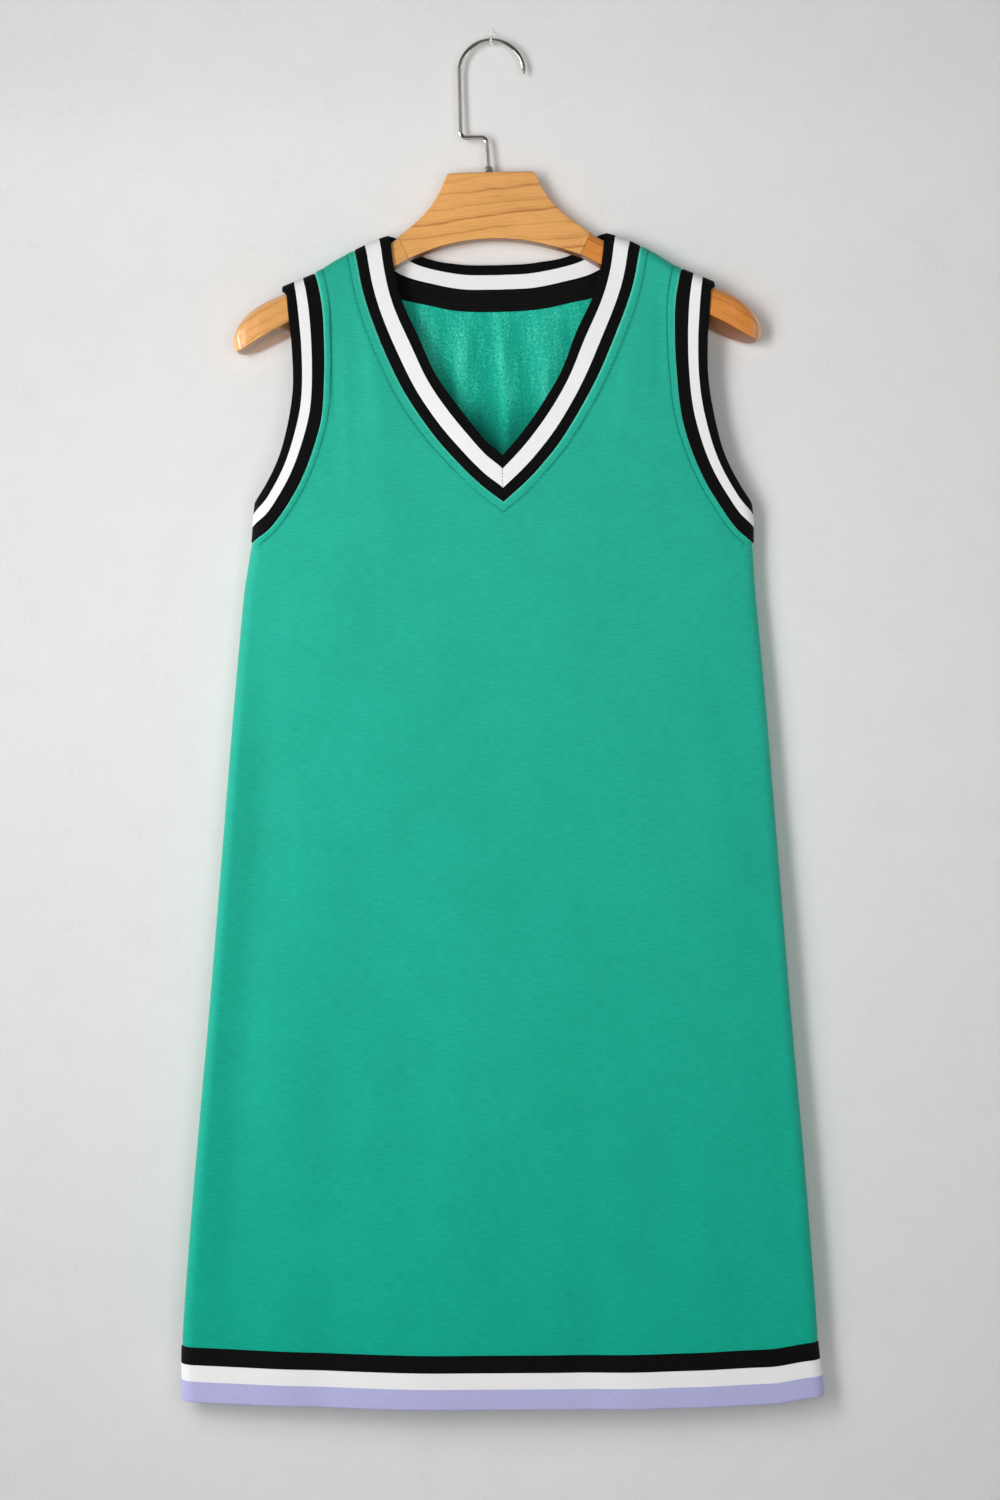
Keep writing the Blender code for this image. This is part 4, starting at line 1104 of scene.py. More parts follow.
def woven_tape(name, colour):
    """Tape with a fine herringbone."""
    made = Finish(name, 0.85, Specular_IOR_Level=0.08)
    along, across, uv = made.pattern()
    zigzag = made.math("PINGPONG", along, TWILL_TURN)
    twill = made.wave(made.math("ADD", across, zigzag), TWILL_WIDTH)
    fibre = made.streaks(uv, (600.0, 600.0, 1.0), 2.0)
    value = made.math("MULTIPLY_ADD", twill, 0.2, fibre)
    tone = made.ramp(value, spread(0.35, shade(colour, 0.6), shade(colour, 1.8)))
    made.colour(tone)
    made.bump(value, 0.2 * MM, 0.6)
    return made.material


def thread(name, colour):
    """Twisted sewing thread with a slight gloss."""
    made = Finish(name, 0.5, Specular_IOR_Level=0.15)
    twist = made.streaks(made.place(), (2400.0, 2400.0, 2400.0), 1.0)
    tone = made.ramp(twist, spread(0.2, shade(colour, 0.8), shade(colour, 1.25)))
    made.colour(tone)
    made.bump(twist, 0.1 * MM, 0.5)
    return made.material


def varnished_wood(name, colour, grain):
    """Varnished wood: thin dark lines of late growth, fine pores, a clear coat and painted shade
    below.
    """
    rise, growth, depth, under_shade, coat = grain
    rise, growth = math.radians(rise), growth * MM
    made = Finish(name, 0.42, Coat_Weight=coat, Coat_Roughness=0.13, Specular_IOR_Level=0.3)
    place = made.place()
    split = made.nodes.new("ShaderNodeSeparateXYZ")
    made.set(split, "Vector", place)
    slope, pitch = math.tan(rise), growth / math.cos(rise)
    level = made.math("MULTIPLY_ADD", split.outputs["X"], -slope, split.outputs["Z"])
    level = made.math("MULTIPLY_ADD", split.outputs["Y"], 0.35, level)
    wander = made.streaks(place, (14.0, 30.0, 45.0), 2.0, turn=(0.0, rise, 0.0))
    phase = made.math("MULTIPLY_ADD", wander, 1.1, made.math("MULTIPLY", level, 1 / pitch))
    lines = None
    for share, strength in ((1.0, 0.9), (3.3, 0.4)):
        ring = made.math("MULTIPLY", phase, share)
        chance = made.nodes.new("ShaderNodeTexWhiteNoise")
        chance.noise_dimensions = "1D"
        made.set(chance, "W", made.math("FLOOR", ring))
        dark = made.math("POWER", chance.outputs["Value"], 1.3)
        dark = made.math("MULTIPLY_ADD", dark, 0.75, 0.25)
        late = made.ramp(made.math("FRACT", ring), [(at, (dim,) * 3) for at, dim in LATE_GROWTH])
        dark = made.math("MULTIPLY", made.math("MULTIPLY", dark, strength), late)
        lines = dark if lines is None else made.math("ADD", lines, dark)
    fibre = made.streaks(place, (70.0, 400.0, 1900.0), 3.0, 0.7, (0.0, rise, 0.0))
    cloud = made.streaks(place, (25.0, 40.0, 80.0), 3.0, 0.6)
    value = made.math("MULTIPLY_ADD", made.math("SUBTRACT", fibre, 0.5), 0.75, 0.84)
    value = made.math("MULTIPLY_ADD", made.math("SUBTRACT", cloud, 0.5), 0.75, value)
    value = made.math("SUBTRACT", value, made.math("MULTIPLY", lines, 0.62))
    # Painted shade: faces that turn downwards are darkened.
    facing = made.nodes.new("ShaderNodeTexCoord")
    turned_down = made.nodes.new("ShaderNodeSeparateXYZ")
    made.set(turned_down, "Vector", facing.outputs["Normal"])
    lower = made.math("MULTIPLY_ADD", turned_down.outputs["Z"], -1.5, -0.4)
    lower = made.math("MAXIMUM", lower, 0.0)
    value = made.math("SUBTRACT", value, made.math("MULTIPLY", lower, under_shade))
    deep = tuple(channel * (1 - depth * share) for channel, share in zip(colour, (0.6, 0.85, 1.0)))
    stops = ((0.0, shade(deep, 0.62)), (0.25, deep))
    stops += ((0.62, shade(colour, 0.93)), (0.95, shade(colour, 1.06)))
    made.colour(made.ramp(value, stops))
    made.set(made.shader, "Roughness", made.math("MULTIPLY_ADD", fibre, 0.2, 0.32))
    made.bump(fibre, 0.05 * MM, 0.35)
    return made.material


def nickel(name, colour, roughness):
    """Bright nickel plate with faint scratches along it."""
    made = Finish(name, 0.25, Metallic=1.0)
    scratch = made.streaks(made.place(), (900.0, 900.0, 90.0))
    tone = made.ramp(scratch, spread(0.3, shade(colour, 0.85), shade(colour, 1.12)))
    made.colour(tone)
    made.set(made.shader, "Roughness", made.math("MULTIPLY_ADD", scratch, 0.12, roughness))
    made.bump(scratch, 0.02 * MM, 0.12)
    return made.material


def wall_paint(name, colour):
    """Pale matt paint over slightly uneven plaster."""
    made = Finish(name, 0.9, Specular_IOR_Level=0.2)
    place = made.place()
    mottle = made.noise(place, 30.0, 6.0, 0.65)
    specks = made.noise(place, 420.0, 2.0, 0.6)
    value = made.math("MULTIPLY_ADD", specks, 0.5, made.math("MULTIPLY", mottle, 0.5))
    stops = ((0.3, shade(colour, 0.93)), (0.42, shade(colour, 0.99)), (0.66, shade(colour, 1.025)))
    made.colour(made.ramp(value, stops))
    made.bump(value, 0.8 * MM, 0.3)
    show_one_side(made)
    return made.material


def clear_plastic(name, colour):
    """Clear plastic of the loop, slightly scratched."""
    made = Finish(name, 0.12, Transmission_Weight=0.85, IOR=1.12)
    scratch = made.noise(made.place(), 700.0, 2.0)
    made.set(made.shader, "Roughness", made.math("MULTIPLY_ADD", scratch, 0.1, 0.08))
    made.colour((*colour, 1.0))
    return made.material


# What each finish is made with: the settings that hold its colour, and its own values
FINISHES = {
    "terry_face": (terry_face, "dress_settings", "panel_colour"),
    "terry_loops": (terry_loops, "dress_settings", "inside_colour"),
    "black_rib": (rib_knit, "dress_settings", "black_colour", 0.35),
    "white_rib": (rib_knit, "dress_settings", "white_colour", 0.05),
    "white_hem_rib": (rib_knit, "dress_settings", "hem_white_colour", 0.05),
    "lilac_rib": (rib_knit, "dress_settings", "lilac_colour", 0.1),
    "woven_tape": (woven_tape, "dress_settings", "black_colour"),
    "green_thread": (thread, "dress_settings", "thread_colour"),
    "black_thread": (thread, "dress_settings", "tape_thread_colour"),
    # The mitre's thread is dark grey partly as painted shade of the seam's line
    "grey_thread": (thread, "dress_settings", "mitre_thread_colour"),
    "board_wood": (varnished_wood, "hanger_settings", "board_colour", BOARD_GRAIN),
    "left_arm_wood": (varnished_wood, "hanger_settings", "left_arm_colour", LEFT_ARM_GRAIN),
    "right_arm_wood": (varnished_wood, "hanger_settings", "right_arm_colour", RIGHT_ARM_GRAIN),
    "nickel": (nickel, "hanger_settings", "wire_colour", 0.19),
    "collar_nickel": (nickel, "hanger_settings", "wire_colour", 0.42),
    "wall_paint": (wall_paint, "studio_settings", "wall_colour"),
    "clear_plastic": (clear_plastic, "studio_settings", "loop_colour"),
}


def finish_for(name):
    """The material of that name, which is made the first time it is asked for."""
    found = bpy.data.materials.get(name)
    if found:
        return found
    build, group, setting, *values = FINISHES[name]
    return build(name, tuple(getattr(getattr(bpy.context.scene, group), setting)), *values)


# ---------------------------------------------------------------- panels


def column_shares(length):
    """Places across a row of that length, closer together at both of its ends."""
    start = START_STEPS / length
    end = (1 - END_STEPS / length)[::-1]
    middle = np.linspace(start[-1], end[0], MIDDLE_COLUMNS + 2)[1:-1]
    return np.concatenate((start, middle, end))


def hem_z(share, across):
    """Height of the hem band at a share of its width up from its free edge."""
    edge_z = HEM_EDGE_SIDE_Z - HEM_EDGE_DIP * (1 - across**2)
    seam_z = HEM_SEAM_SIDE_Z - HEM_SEAM_DIP * (1 - across**2)
    return edge_z + share * (seam_z - edge_z)


def body_row(t, top_z, side):
    """Spots across the skirt, at the share t of the way from its hem seam up to top_z."""
    middle_z = HEM_SEAM_SIDE_Z + t * (top_z - HEM_SEAM_SIDE_Z)
    shares = column_shares(float(half_width(middle_z)))
    past = 1 + SEAM_HALF_GAP / (HEM_SEAM_SIDE_Z - HEM_EDGE_SIDE_Z)
    z = hem_z(past, shares)
    z = z + t * (top_z - z)
    x = np.minimum(shares * half_width(z), side_seam_x(z))
    return np.column_stack((x, side * run_at(x, z)))


def straight_row(start, end, side):
    """Spots between two edges, on a line that is straight as seen from the front."""
    start_z, end_z = float(height_at(*start)), float(height_at(*end))
    shares = column_shares(math.hypot(end[0] - start[0], end_z - start_z))
    z = start_z + shares * (end_z - start_z)
    x = np.minimum(start[0] + shares * (end[0] - start[0]), side_seam_x(z))
    return np.column_stack((x, side * run_at(x, z)))


def folding_row(start, end):
    """Spots between two edges over the shoulder's round."""
    shares = column_shares(math.hypot(*(end - start)))
    return start + shares[:, None] * (end - start)


def panel_rows(side):
    """Rows of a panel's right half, from its hem up to its shoulder, and the first open one."""
    neck = past_seam(*neck_edges(side), SEAM_HALF_GAP)
    arm = past_seam(*arm_edges(side), SEAM_HALF_GAP)
    neck[-1, 1] = arm[-1, 1] = side * SEAM_HALF_GAP
    arm_z = float(height_at(*arm[0]))
    arm[0] = (side_seam_x(arm_z), side * run_at(side_seam_x(arm_z), arm_z))
    neck_z = float(height_at(*neck[0]))
    below_neck = len(arm) - len(neck)
    rows = [body_row(t, arm_z, side) for t in np.linspace(0, 1, BODY_ROWS, endpoint=False)]
    for i in range(below_neck):
        z = arm_z + (neck_z - arm_z) * i / below_neck
        rows.append(straight_row(np.array((0.0, side * run_at(0.0, z))), arm[i], side))
    first_open = len(rows) + 1
    below_fold = len(neck) - len(FOLD_RUNS)
    for i in range(len(neck)):
        ends = (neck[i], arm[below_neck + i])
        rows.append(straight_row(*ends, side) if i < below_fold else folding_row(*ends))
    return np.array(rows), first_open, neck, arm


def seam_relief(spots, neck, arm, wall, groove):
    """How far a panel's outer face stands off, from its seams and topstitching."""
    settings = bpy.context.scene.dress_settings
    spots = on_right_half(spots)
    to_neck = distance_to_line(spots, neck)
    to_arm = distance_to_line(spots, arm)
    z = height_at(*spots.T)
    inset = np.maximum(half_width(z) - spots[:, 0], 0)
    to_side = np.sqrt(2 * SIDE_ROLL * inset)
    across = spots[:, 0] / half_width(z)
    to_hem = z - hem_z(1.0, across)
    nearest = np.minimum(np.minimum(to_neck, to_arm), np.minimum(to_side, to_hem))
    relief = wall / 2 * (SEAM_SHARE + (1 - SEAM_SHARE) * ease(nearest / SEAM_ROUND))
    for distance, stitch in (
        (to_neck, settings.neck_stitch_distance),
        (to_arm, settings.arm_stitch_distance),
    ):
        inside = ease((stitch - distance) / ALLOWANCE_FADE)
        relief += ALLOWANCE_LIFT * inside * ease(distance / MM)
    return relief - STITCH_GROOVE * groove


def stitched_groove(spots, side):
    """Share of the full groove that the topstitching presses into a panel at each spot."""
    settings = bpy.context.scene.dress_settings
    groove = np.zeros(len(spots))
    for edges, stitch in (
        (neck_edges(side), settings.neck_stitch_distance),
        (arm_edges(side), settings.arm_stitch_distance),
    ):
        distance = distance_to_line(on_right_half(spots), offset_line(*edges, stitch))
        groove += np.exp(-((distance / GROOVE_WIDTH) ** 2))
    return groove


def painted_face_light(spots, neck, arm, groove, side):
    """Painted light and shade of the face: painted highlight along a seam and on crease ridges,
    painted shade in grooves, tucks and crease troughs.
    """
    # Painted shade in the stitched grooves.
    wear = -GROOVE_SHADE * groove
    # Painted highlight: a pale line along the folded rim of each seam.
    for line in (neck, arm):
        distance = distance_to_line(on_right_half(spots), line)
        wear += RIM_HIGHLIGHT * np.exp(-((distance / RIM_WIDTH) ** 2))
    x, z = spots[:, 0], height_at(*spots.T)
    # Painted shade in crease troughs and painted light on crease ridges.
    wear += FACE_CREASE_SHADE / MM * crease_height(x, z, side)
    # Painted shade in narrow tucks, by the crease's height.
    for number, crease in enumerate(CREASES):
        if crease.side == side and crease.width < TUCK_WIDTH:
            wear += TUCK_SHADE * crease.height * crease_share(crease, number, x, z)
    return wear


def build_panel(name, side):
    """A panel of French terry, smooth outside and looped inside."""
    wall = bpy.context.scene.dress_settings.panel_wall
    rows, first_open, neck, arm = panel_rows(side)
    count, columns = rows.shape[:2]
    right = rows.reshape(-1, 2)
    spots = np.vstack((right, mirrored(right)))
    number = np.arange(count * columns).reshape(count, columns)
    left_number = number + count * columns
    left_number[:first_open, 0] = number[:first_open, 0]
    r, c = quad_grid(count, columns)
    quads = np.vstack((number[r, c], left_number[r, c][:, ::-1]))
    used, compact = np.unique(quads, return_inverse=True)
    quads = compact.reshape(quads.shape)
    spots = spots[used]
    groove = stitched_groove(spots, side)
    outer = seam_relief(spots, neck, arm, wall, groove)
    inner = -np.minimum(outer, wall / 2)
    slots = np.zeros(len(quads), int)
    materials = (finish_for("terry_face"), finish_for("terry_loops"))
    cut = spots.copy()
    cut[:, 1] -= side * shoulder_top(np.abs(spots[:, 0]))
    uv = cut[quads]
    panel = cloth_wall(name, spots, quads, uv, outer, inner, slots, slots + 1, materials)
    outside = painted_face_light(spots, neck, arm, groove, side)
    x, z = spots[:, 0], height_at(*spots.T)
    # Painted light and shade inside, with the height of the creases.
    inside = -FOLD_LIGHT_AND_SHADE / MM * crease_height(x, z, side)
    # Painted shadow in the hollow of the back below the V's tip.
    valley_shadow = ease((VALLEY_Z - z) / VALLEY_FADE) * np.exp(-((x / VALLEY_WIDTH) ** 2))
    inside -= VALLEY_SHADOW * valley_shadow
    # The painted light and shade, stored per point for the terry's finishes.
    wear = panel.data.attributes.new("wear", "FLOAT", "POINT")
    wear.data.foreach_set("value", np.concatenate((outside, inside)).astype(np.float32))
    return panel


# ---------------------------------------------------------------- bands


def band_places(widths, stripes):
    """Shares across a band at each station, the rings' colour numbers, and their distances."""
    filling = []
    for number, (low, high) in enumerate(zip(stripes[:-1], stripes[1:])):
        filling += [(share, number) for share in np.linspace(low, high, BAND_FILL + 2)[:-1]]
    places = [step / widths for step in FREE_STEPS]
    slots = [0] * len(FREE_STEPS)
    for share, number in filling[1:]:
        places.append(np.full_like(widths, share))
        slots.append(number)
    for step in SEAM_STEPS:
        places.append(1 - (step + SEAM_HALF_GAP) / widths)
        slots.append(len(stripes) - 2)
    return np.array(places).T, np.array(slots)


def band_relief(free_distance, seam_distance, width, wall):
    """How far a band's faces stand off its middle: round at its fold, drawn in at its seam."""
    half = wall / 2
    round_free = np.sqrt(quarter_round(np.clip(free_distance / half, 0.02, 1.0)))
    drawn = SEAM_SHARE + (1 - SEAM_SHARE) * ease(seam_distance / SEAM_ROUND)
    crown = BAND_CROWN * np.sin(math.pi * np.clip(free_distance / width, 0, 1))
    return half * np.minimum(round_free, drawn) + crown


def build_band(name, free_edge, seam, stripes, finishes, wall, mitre=False, flare=0.0):
    """A closed band of doubled rib between its folded free edge and its seam.

    flare is how far its first stripe stands out where it turns over the shoulder.
    """
    widths = np.linalg.norm(seam - free_edge, axis=1)
    places, slots = band_places(widths, stripes)
    count, columns = places.shape
    spots = free_edge[:, None] + places[:, :, None] * (seam - free_edge)[:, None]
    out = np.sign(free_edge[:, :1] - seam[:, :1]) * np.maximum(1 - places / stripes[1], 0)
    folding = 1 - ease((np.abs(spots[:, :, 1]) - FLARE_RUN) / FLARE_FADE)
    spots[:, :, 0] += flare * out * folding
    distance = places * widths[:, None]
    relief = band_relief(distance, widths[:, None] - distance, widths[:, None], wall)
    if mitre:
        front = spots[:, :, 1] > 0
        relief -= MITRE_DEPTH * front * np.exp(-((spots[:, :, 0] / MITRE_WIDTH) ** 2))
    relief = relief.ravel()
    r, c = quad_grid(count, columns, closed=True)
    quads = (r % count) * columns + c
    middle = cloth_points(spots[:, columns // 2], 0.0)
    along = length_along(np.vstack((middle, middle[:1])))
    uv = np.stack((along[r], distance[r % count, c]), axis=2)
    quad_slots = slots[c[:, 0]]
    materials = [finish_for(finish) for finish in finishes]
    return cloth_wall(
        name, spots.reshape(-1, 2), quads, uv, relief, -relief, quad_slots, quad_slots, materials
    )


def half_loops(edges):
    """Free edge and seam over a shoulder, each from its lowest place on the back to the front's."""
    return [
        np.concatenate((back[:-1], front[::-1])) for back, front in zip(edges(BACK), edges(FRONT))
    ]


def whole_loop(half):
    """A loop round the dress, from its right half."""
    return np.concatenate((half, mirrored(half[::-1])[1:-1]))


def arm_loops():
    """Free edge and seam of the right armhole band."""
    loops = [loop[:-1] for loop in half_loops(arm_edges)]
    for loop in loops:
        loop[0, 0] = half_width(height_at(*loop[0]))
    return loops


def hem_loops():
    """Free edge and seam of the hem band."""
    turn = np.linspace(0, math.pi / 2, HEM_STATIONS)
    shares = np.sin(turn)
    loops = []
    for place in (0.0, 1.0):
        z = hem_z(place, shares)
        x = shares * half_width(z)
        quarter = np.column_stack((x, run_at(x, z)))
        behind = quarter[::-1][1:] * np.array((1.0, -1.0))
        loops.append(whole_loop(np.concatenate((quarter, behind))))
    return loops


def tape_lines():
    """Lines of the tape inside the back of the neck, from its top edge to its lower edge."""
    free_edge, seam = neck_edges(BACK)
    away = unit_rows(seam - free_edge)
    lines = []
    for offset in np.concatenate((TAPE_RIM, TAPE_FILLING, TAPE_WIDTH - TAPE_RIM[::-1])):
        line = (seam + away * (offset - TAPE_ABOVE_SEAM))[: NECK_STATIONS[BACK]]
        index = np.linspace(0, TAPE_REACH * (len(line) - 1), TAPE_STATIONS)
        half = at_lengths(line, np.arange(len(line)), index)
        lines.append(np.concatenate((mirrored(half[::-1])[:-1], half)))
    return np.array(lines)


def tape_face():
    """How far the tape's outer face lies from the middle of the neckband."""
    return -(bpy.context.scene.dress_settings.band_wall / 2 + BAND_CROWN + LAY_GAP / 2)


def build_tape():
    """The tape that covers the seam inside the back of the neck."""
    lines = tape_lines()
    rings, count = lines.shape[:2]
    r, c = quad_grid(rings, count)
    quads = r * count + c
    spots = lines.reshape(-1, 2)
    offset = np.linalg.norm(lines - lines[:1], axis=2)
    near = np.minimum(offset, TAPE_WIDTH - offset)
    rounded = TAPE_EDGE_SHARE + (1 - TAPE_EDGE_SHARE) * np.sqrt(ease(near / TAPE_EDGE))
    thick = bpy.context.scene.dress_settings.tape_wall * rounded.ravel()
    outside = tape_face()
    along = length_along(cloth_points(lines[rings // 2], 0.0))
    uv = np.stack((along[c], offset[r, c]), axis=2)
    slots = np.zeros(len(quads), int)
    materials = (finish_for("woven_tape"),)
    return cloth_wall(
        "neck_tape_woven", spots, quads, uv, outside, outside - thick, slots, slots, materials
    )


# ---------------------------------------------------------------- stitching


def offset_line(free_edge, seam, distance):
    """Spots at a distance beyond a seam, on one half and up to the middle of the dress."""
    tangent = np.gradient(seam, axis=0)
    normal = unit_rows(np.column_stack((tangent[:, 1], -tangent[:, 0])))
    outward = np.sign(((seam - free_edge) * normal).sum(axis=1))
    normal *= outward[:, None]
    line = seam + normal * distance
    if MM < line[0, 0] < distance:
        middle = line[0] - (line[1] - line[0]) * line[0, 0] / (line[1, 0] - line[0, 0])
        line = np.vstack((middle, line))
    crossing = line[:, 0] < 0
    if crossing.any():
        first = int(np.argmin(crossing))
        a, b = line[first - 1], line[first]
        middle = a + (b - a) * a[0] / (a[0] - b[0])
        line = np.vstack((middle, line[first:]))
    return line


def stitch_mesh(path, off, stitch):
    """Points and faces of a row of small stitches along a path of pattern spots."""
    radius, length, gap = stitch
    points = cloth_points(path, off)
    inside = cloth_points(path, off - 0.5 * MM)
    total = length_along(points)
    number = int((total[-1] - gap) / (length + gap))
    pitch = total[-1] / number
    sides = STITCH_SIDES
    corners = circle(sides)
    starts = np.arange(number) * pitch + gap / 2
    vertices, faces = [], []
    tangents = unit_rows(np.gradient(points, axis=0))
    normals = unit_rows(points - inside)
    for start in starts:
        base = len(vertices)
        for share, size, rise in STITCH_SHAPE:
            at = start + share * (pitch - gap)
            place, tangent, normal = (
                at_lengths(values, total, [at])[0] for values in (points, tangents, normals)
            )
            aside = np.cross(tangent, normal)
            for cosine, sine in corners:
                lift = (sine * size + rise) * radius
                vertices.append(place + aside * cosine * size * radius + normal * lift)
        for ring in range(len(STITCH_SHAPE) - 1):
            for i in range(sides):
                after = (i + 1) % sides
                a, b = base + ring * sides, base + (ring + 1) * sides
                faces.append((a + i, a + after, b + after, b + i))
        faces.append(tuple(base + i for i in reversed(range(sides))))
        last = base + (len(STITCH_SHAPE) - 1) * sides
        faces.append(tuple(last + i for i in range(sides)))
    return vertices, faces


def build_stitches(name, paths, off, stitch, finish):
    """Rows of stitches as one piece."""
    points, faces = [], []
    turn = -1 if stitch.radius < 0 else 1
    for path in paths:
        more_points, more_faces = stitch_mesh(path, off, stitch)
        base = len(points)
        points += more_points
        faces += [tuple(base + i for i in face)[::turn] for face in more_faces]
    made = new_object(name, points, faces, (finish_for(finish),))
    return made


def build_topstitching(name, edges, distance, halves):
    """Stitching on the panels beside a seam, from its lowest place on the back to the front's."""
    settings = bpy.context.scene.dress_settings
    lines = []
    for side in (FRONT, BACK):
        line = offset_line(*edges(side), distance)
        line[:, 0] = np.minimum(line[:, 0], half_width(height_at(*line.T)))
        lines.append(line)
    front, back = lines
    path = np.concatenate((back, front[::-1][1:]))
    return build_stitches(
        name,
        [path if half > 0 else mirrored(path) for half in halves],
        settings.panel_wall / 2 + ALLOWANCE_LIFT / 2 - STITCH_GROOVE / 2,
        Stitch(settings.thread_radius, settings.stitch_length, STITCH_GAP),
        "green_thread",
    )


def build_tape_stitches():
    """Two rows of stitching along the tape's lower edge, and one along its top."""
    lines = tape_lines()
    paths = []
    for distance in TAPE_SEWN_AT:
        path = lines[0] + distance / TAPE_WIDTH * (lines[-1] - lines[0])
        paths.append(path[2:-2])
    off = tape_face() - bpy.context.scene.dress_settings.tape_wall
    return build_stitches(
        "tape_coverstitch", paths, off, TAPE_STITCH, "black_thread"
    )


def build_mitre_thread():
    """The seam of the mitre at the tip of the neckband; its dark grey is partly painted shade."""
    settings = bpy.context.scene.dress_settings
    free_edge, seam = (line[0] for line in neck_edges(FRONT))
    places = np.linspace(NECK_STRIPES[1], NECK_STRIPES[2], MITRE_STATIONS)
    path = free_edge + places[:, None] * (seam - free_edge)
    off = settings.band_wall / 2 - MITRE_DEPTH + MITRE_STITCH_LIFT
    return build_stitches(
        "mitre_thread", (path,), off, MITRE_STITCH, "grey_thread"
    )


# ---------------------------------------------------------------- hanger


def off_centre(x):
    """How far the wood lies off the hook's middle, at a distance x out from its own."""
    rows = np.array(OFF_CENTRE) * MM
    return float(np.interp(x, rows[:, 0], rows[:, 1]))


def finer_ribs(ribs, smooth_from):
    """More ribs between those of a table, on a smooth curve from the rib smooth_from on."""
    table = np.array(ribs)
    line = smooth_line(table[smooth_from:], (len(table) - 1 - smooth_from) * RIB_FILL + 1)
    return np.vstack((table[: smooth_from + 1], line[1:]))


def rib_ring(rib, half):
    """The closed outline of one cut through the wood, round the wood from its front top."""
    rib = Rib(*rib)
    top = np.array((rib.top_x, rib.top_z)) * MM
    foot = np.array((rib.foot_x, rib.foot_z)) * MM
    length = np.linalg.norm(foot - top)
    down = (foot - top) / length
    depth = rib.depth * MM
    ring = []
    for side, at_foot in ((-1, False), (-1, True), (1, True), (1, False)):
        round_y = (FOOT_CORNER * rib.corner if at_foot else rib.crown_y) * MM
        round_z = (FOOT_CORNER * rib.corner if at_foot else rib.crown_z) * MM
        for angle in np.linspace(0, math.pi / 2, CORNER_STEPS + 1)[::-side]:
            if at_foot:
                angle = math.pi / 2 - angle
            y = side * (depth - round_y * (1 - math.sin(angle)))
            inset = round_z * (1 - math.cos(angle))
            along = length - inset + rib.slant * MM / 2 * y / depth if at_foot else inset
            x, z = top + down * along
            ring.append((half * x + off_centre(x), y, z))
    return ring


def loft(name, rings, finish):
    """A solid through closed rings, with closed ends."""
    count = len(rings[0])
    points = tilted([point for ring in rings for point in ring])
    r, c = quad_grid(len(rings), count + 1)
    quads = r * count + c % count
    quads = np.array([q for q in quads if len(set(q)) == 4])
    if volume_of(points, quads) < 0:
        quads = quads[:, ::-1]
    faces = [tuple(quad) for quad in quads]
    first = tuple(range(count))
    last = tuple(range((len(rings) - 1) * count, len(rings) * count))
    edges = {(a, b) for quad in quads for a, b in zip(quad, np.roll(quad, -1))}
    faces.append(first if (first[1], first[0]) in edges else first[::-1])
    faces.append(last if (last[1], last[0]) in edges else last[::-1])
    return new_object(name, points, faces, (finish_for(finish),))


def build_board():
    ribs = finer_ribs(BOARD_RIBS, 2)
    right = [rib_ring(rib, 1) for rib in ribs]
    left = [rib_ring(rib, -1) for rib in ribs[1:]]
    board = loft("hanger_board_wood", left[::-1] + right, "board_wood")
    return stand_for(board, "hanger_board")


def build_arm(half, side):
    ribs = finer_ribs(ARM_RIBS, 0)
    first, second = ribs[0], ribs[1]
    span = math.hypot(second[0] - first[0], second[1] - first[1]) * MM
    ribs[0] = first + JOINT_GAP / span * (second - first)
    rings = [rib_ring(rib, half) for rib in ribs]
    arm = loft(f"hanger_arm_{side}_wood", rings, f"{side}_arm_wood")
    return stand_for(arm, f"hanger_arm_{side}")


def arc(centre, radius, start, end, steps):
    """Points of an arc in the hanger's plane, between two angles in degrees."""
    angles = np.radians(np.linspace(start, end, steps + 1))
    return [(centre[0] + radius * math.cos(a), centre[1] + radius * math.sin(a)) for a in angles]


def hook_path(wire):
    """Centre line of the wire, from the wood to its free tip."""
    eye_z = wire - HOOK_RADIUS
    lower = (STEM_X - STEM_LEAN - CRANK_BEND, CRANK_Z - CRANK_BEND)
    upper = (-HOOK_RADIUS + CRANK_BEND, CRANK_Z + CRANK_BEND)
    path = [(STEM_X, BOARD_TOP_Z - STEM_IN_WOOD), (STEM_X, BOARD_TOP_Z + STEM_STRAIGHT)]
    path += arc(lower, CRANK_BEND, 0, 90, CRANK_STEPS)
    path += arc(upper, CRANK_BEND, 270, 180, CRANK_STEPS)
    path += arc((0.0, eye_z), HOOK_RADIUS, 180, 0, HOOK_STEPS)
    return np.array([(x, 0.0, z) for x, z in path])


def build_hook():
    """The bent wire of the hook, with a rounded tip."""
    wire = bpy.context.scene.hanger_settings.wire_radius
    path = hook_path(wire)
    tangent = unit_rows(np.gradient(path, axis=0))
    sizes = np.full(len(path), 1.0)
    turn = np.linspace(0, math.pi / 2, TIP_STEPS)[1:]
    tip = path[-1] + tangent[-1] * wire * np.sin(turn)[:, None]
    path = np.vstack((path, tip))
    tangent = np.vstack((tangent, np.repeat(tangent[-1:], len(turn), axis=0)))
    sizes = np.concatenate((sizes, np.maximum(np.cos(turn), TIP_END)))
    rings = []
    for place, direction, size in zip(path, tangent, sizes):
        aside, back = np.array((direction[2], 0.0, -direction[0])), np.array((0.0, 1.0, 0.0))
        across = [aside * cosine + back * sine for cosine, sine in circle(WIRE_SIDES)]
        rings.append([place + corner * wire * size for corner in across])
    hook = loft("hanger_hook_wire", rings, "nickel")
    return stand_for(hook, "hanger_hook")


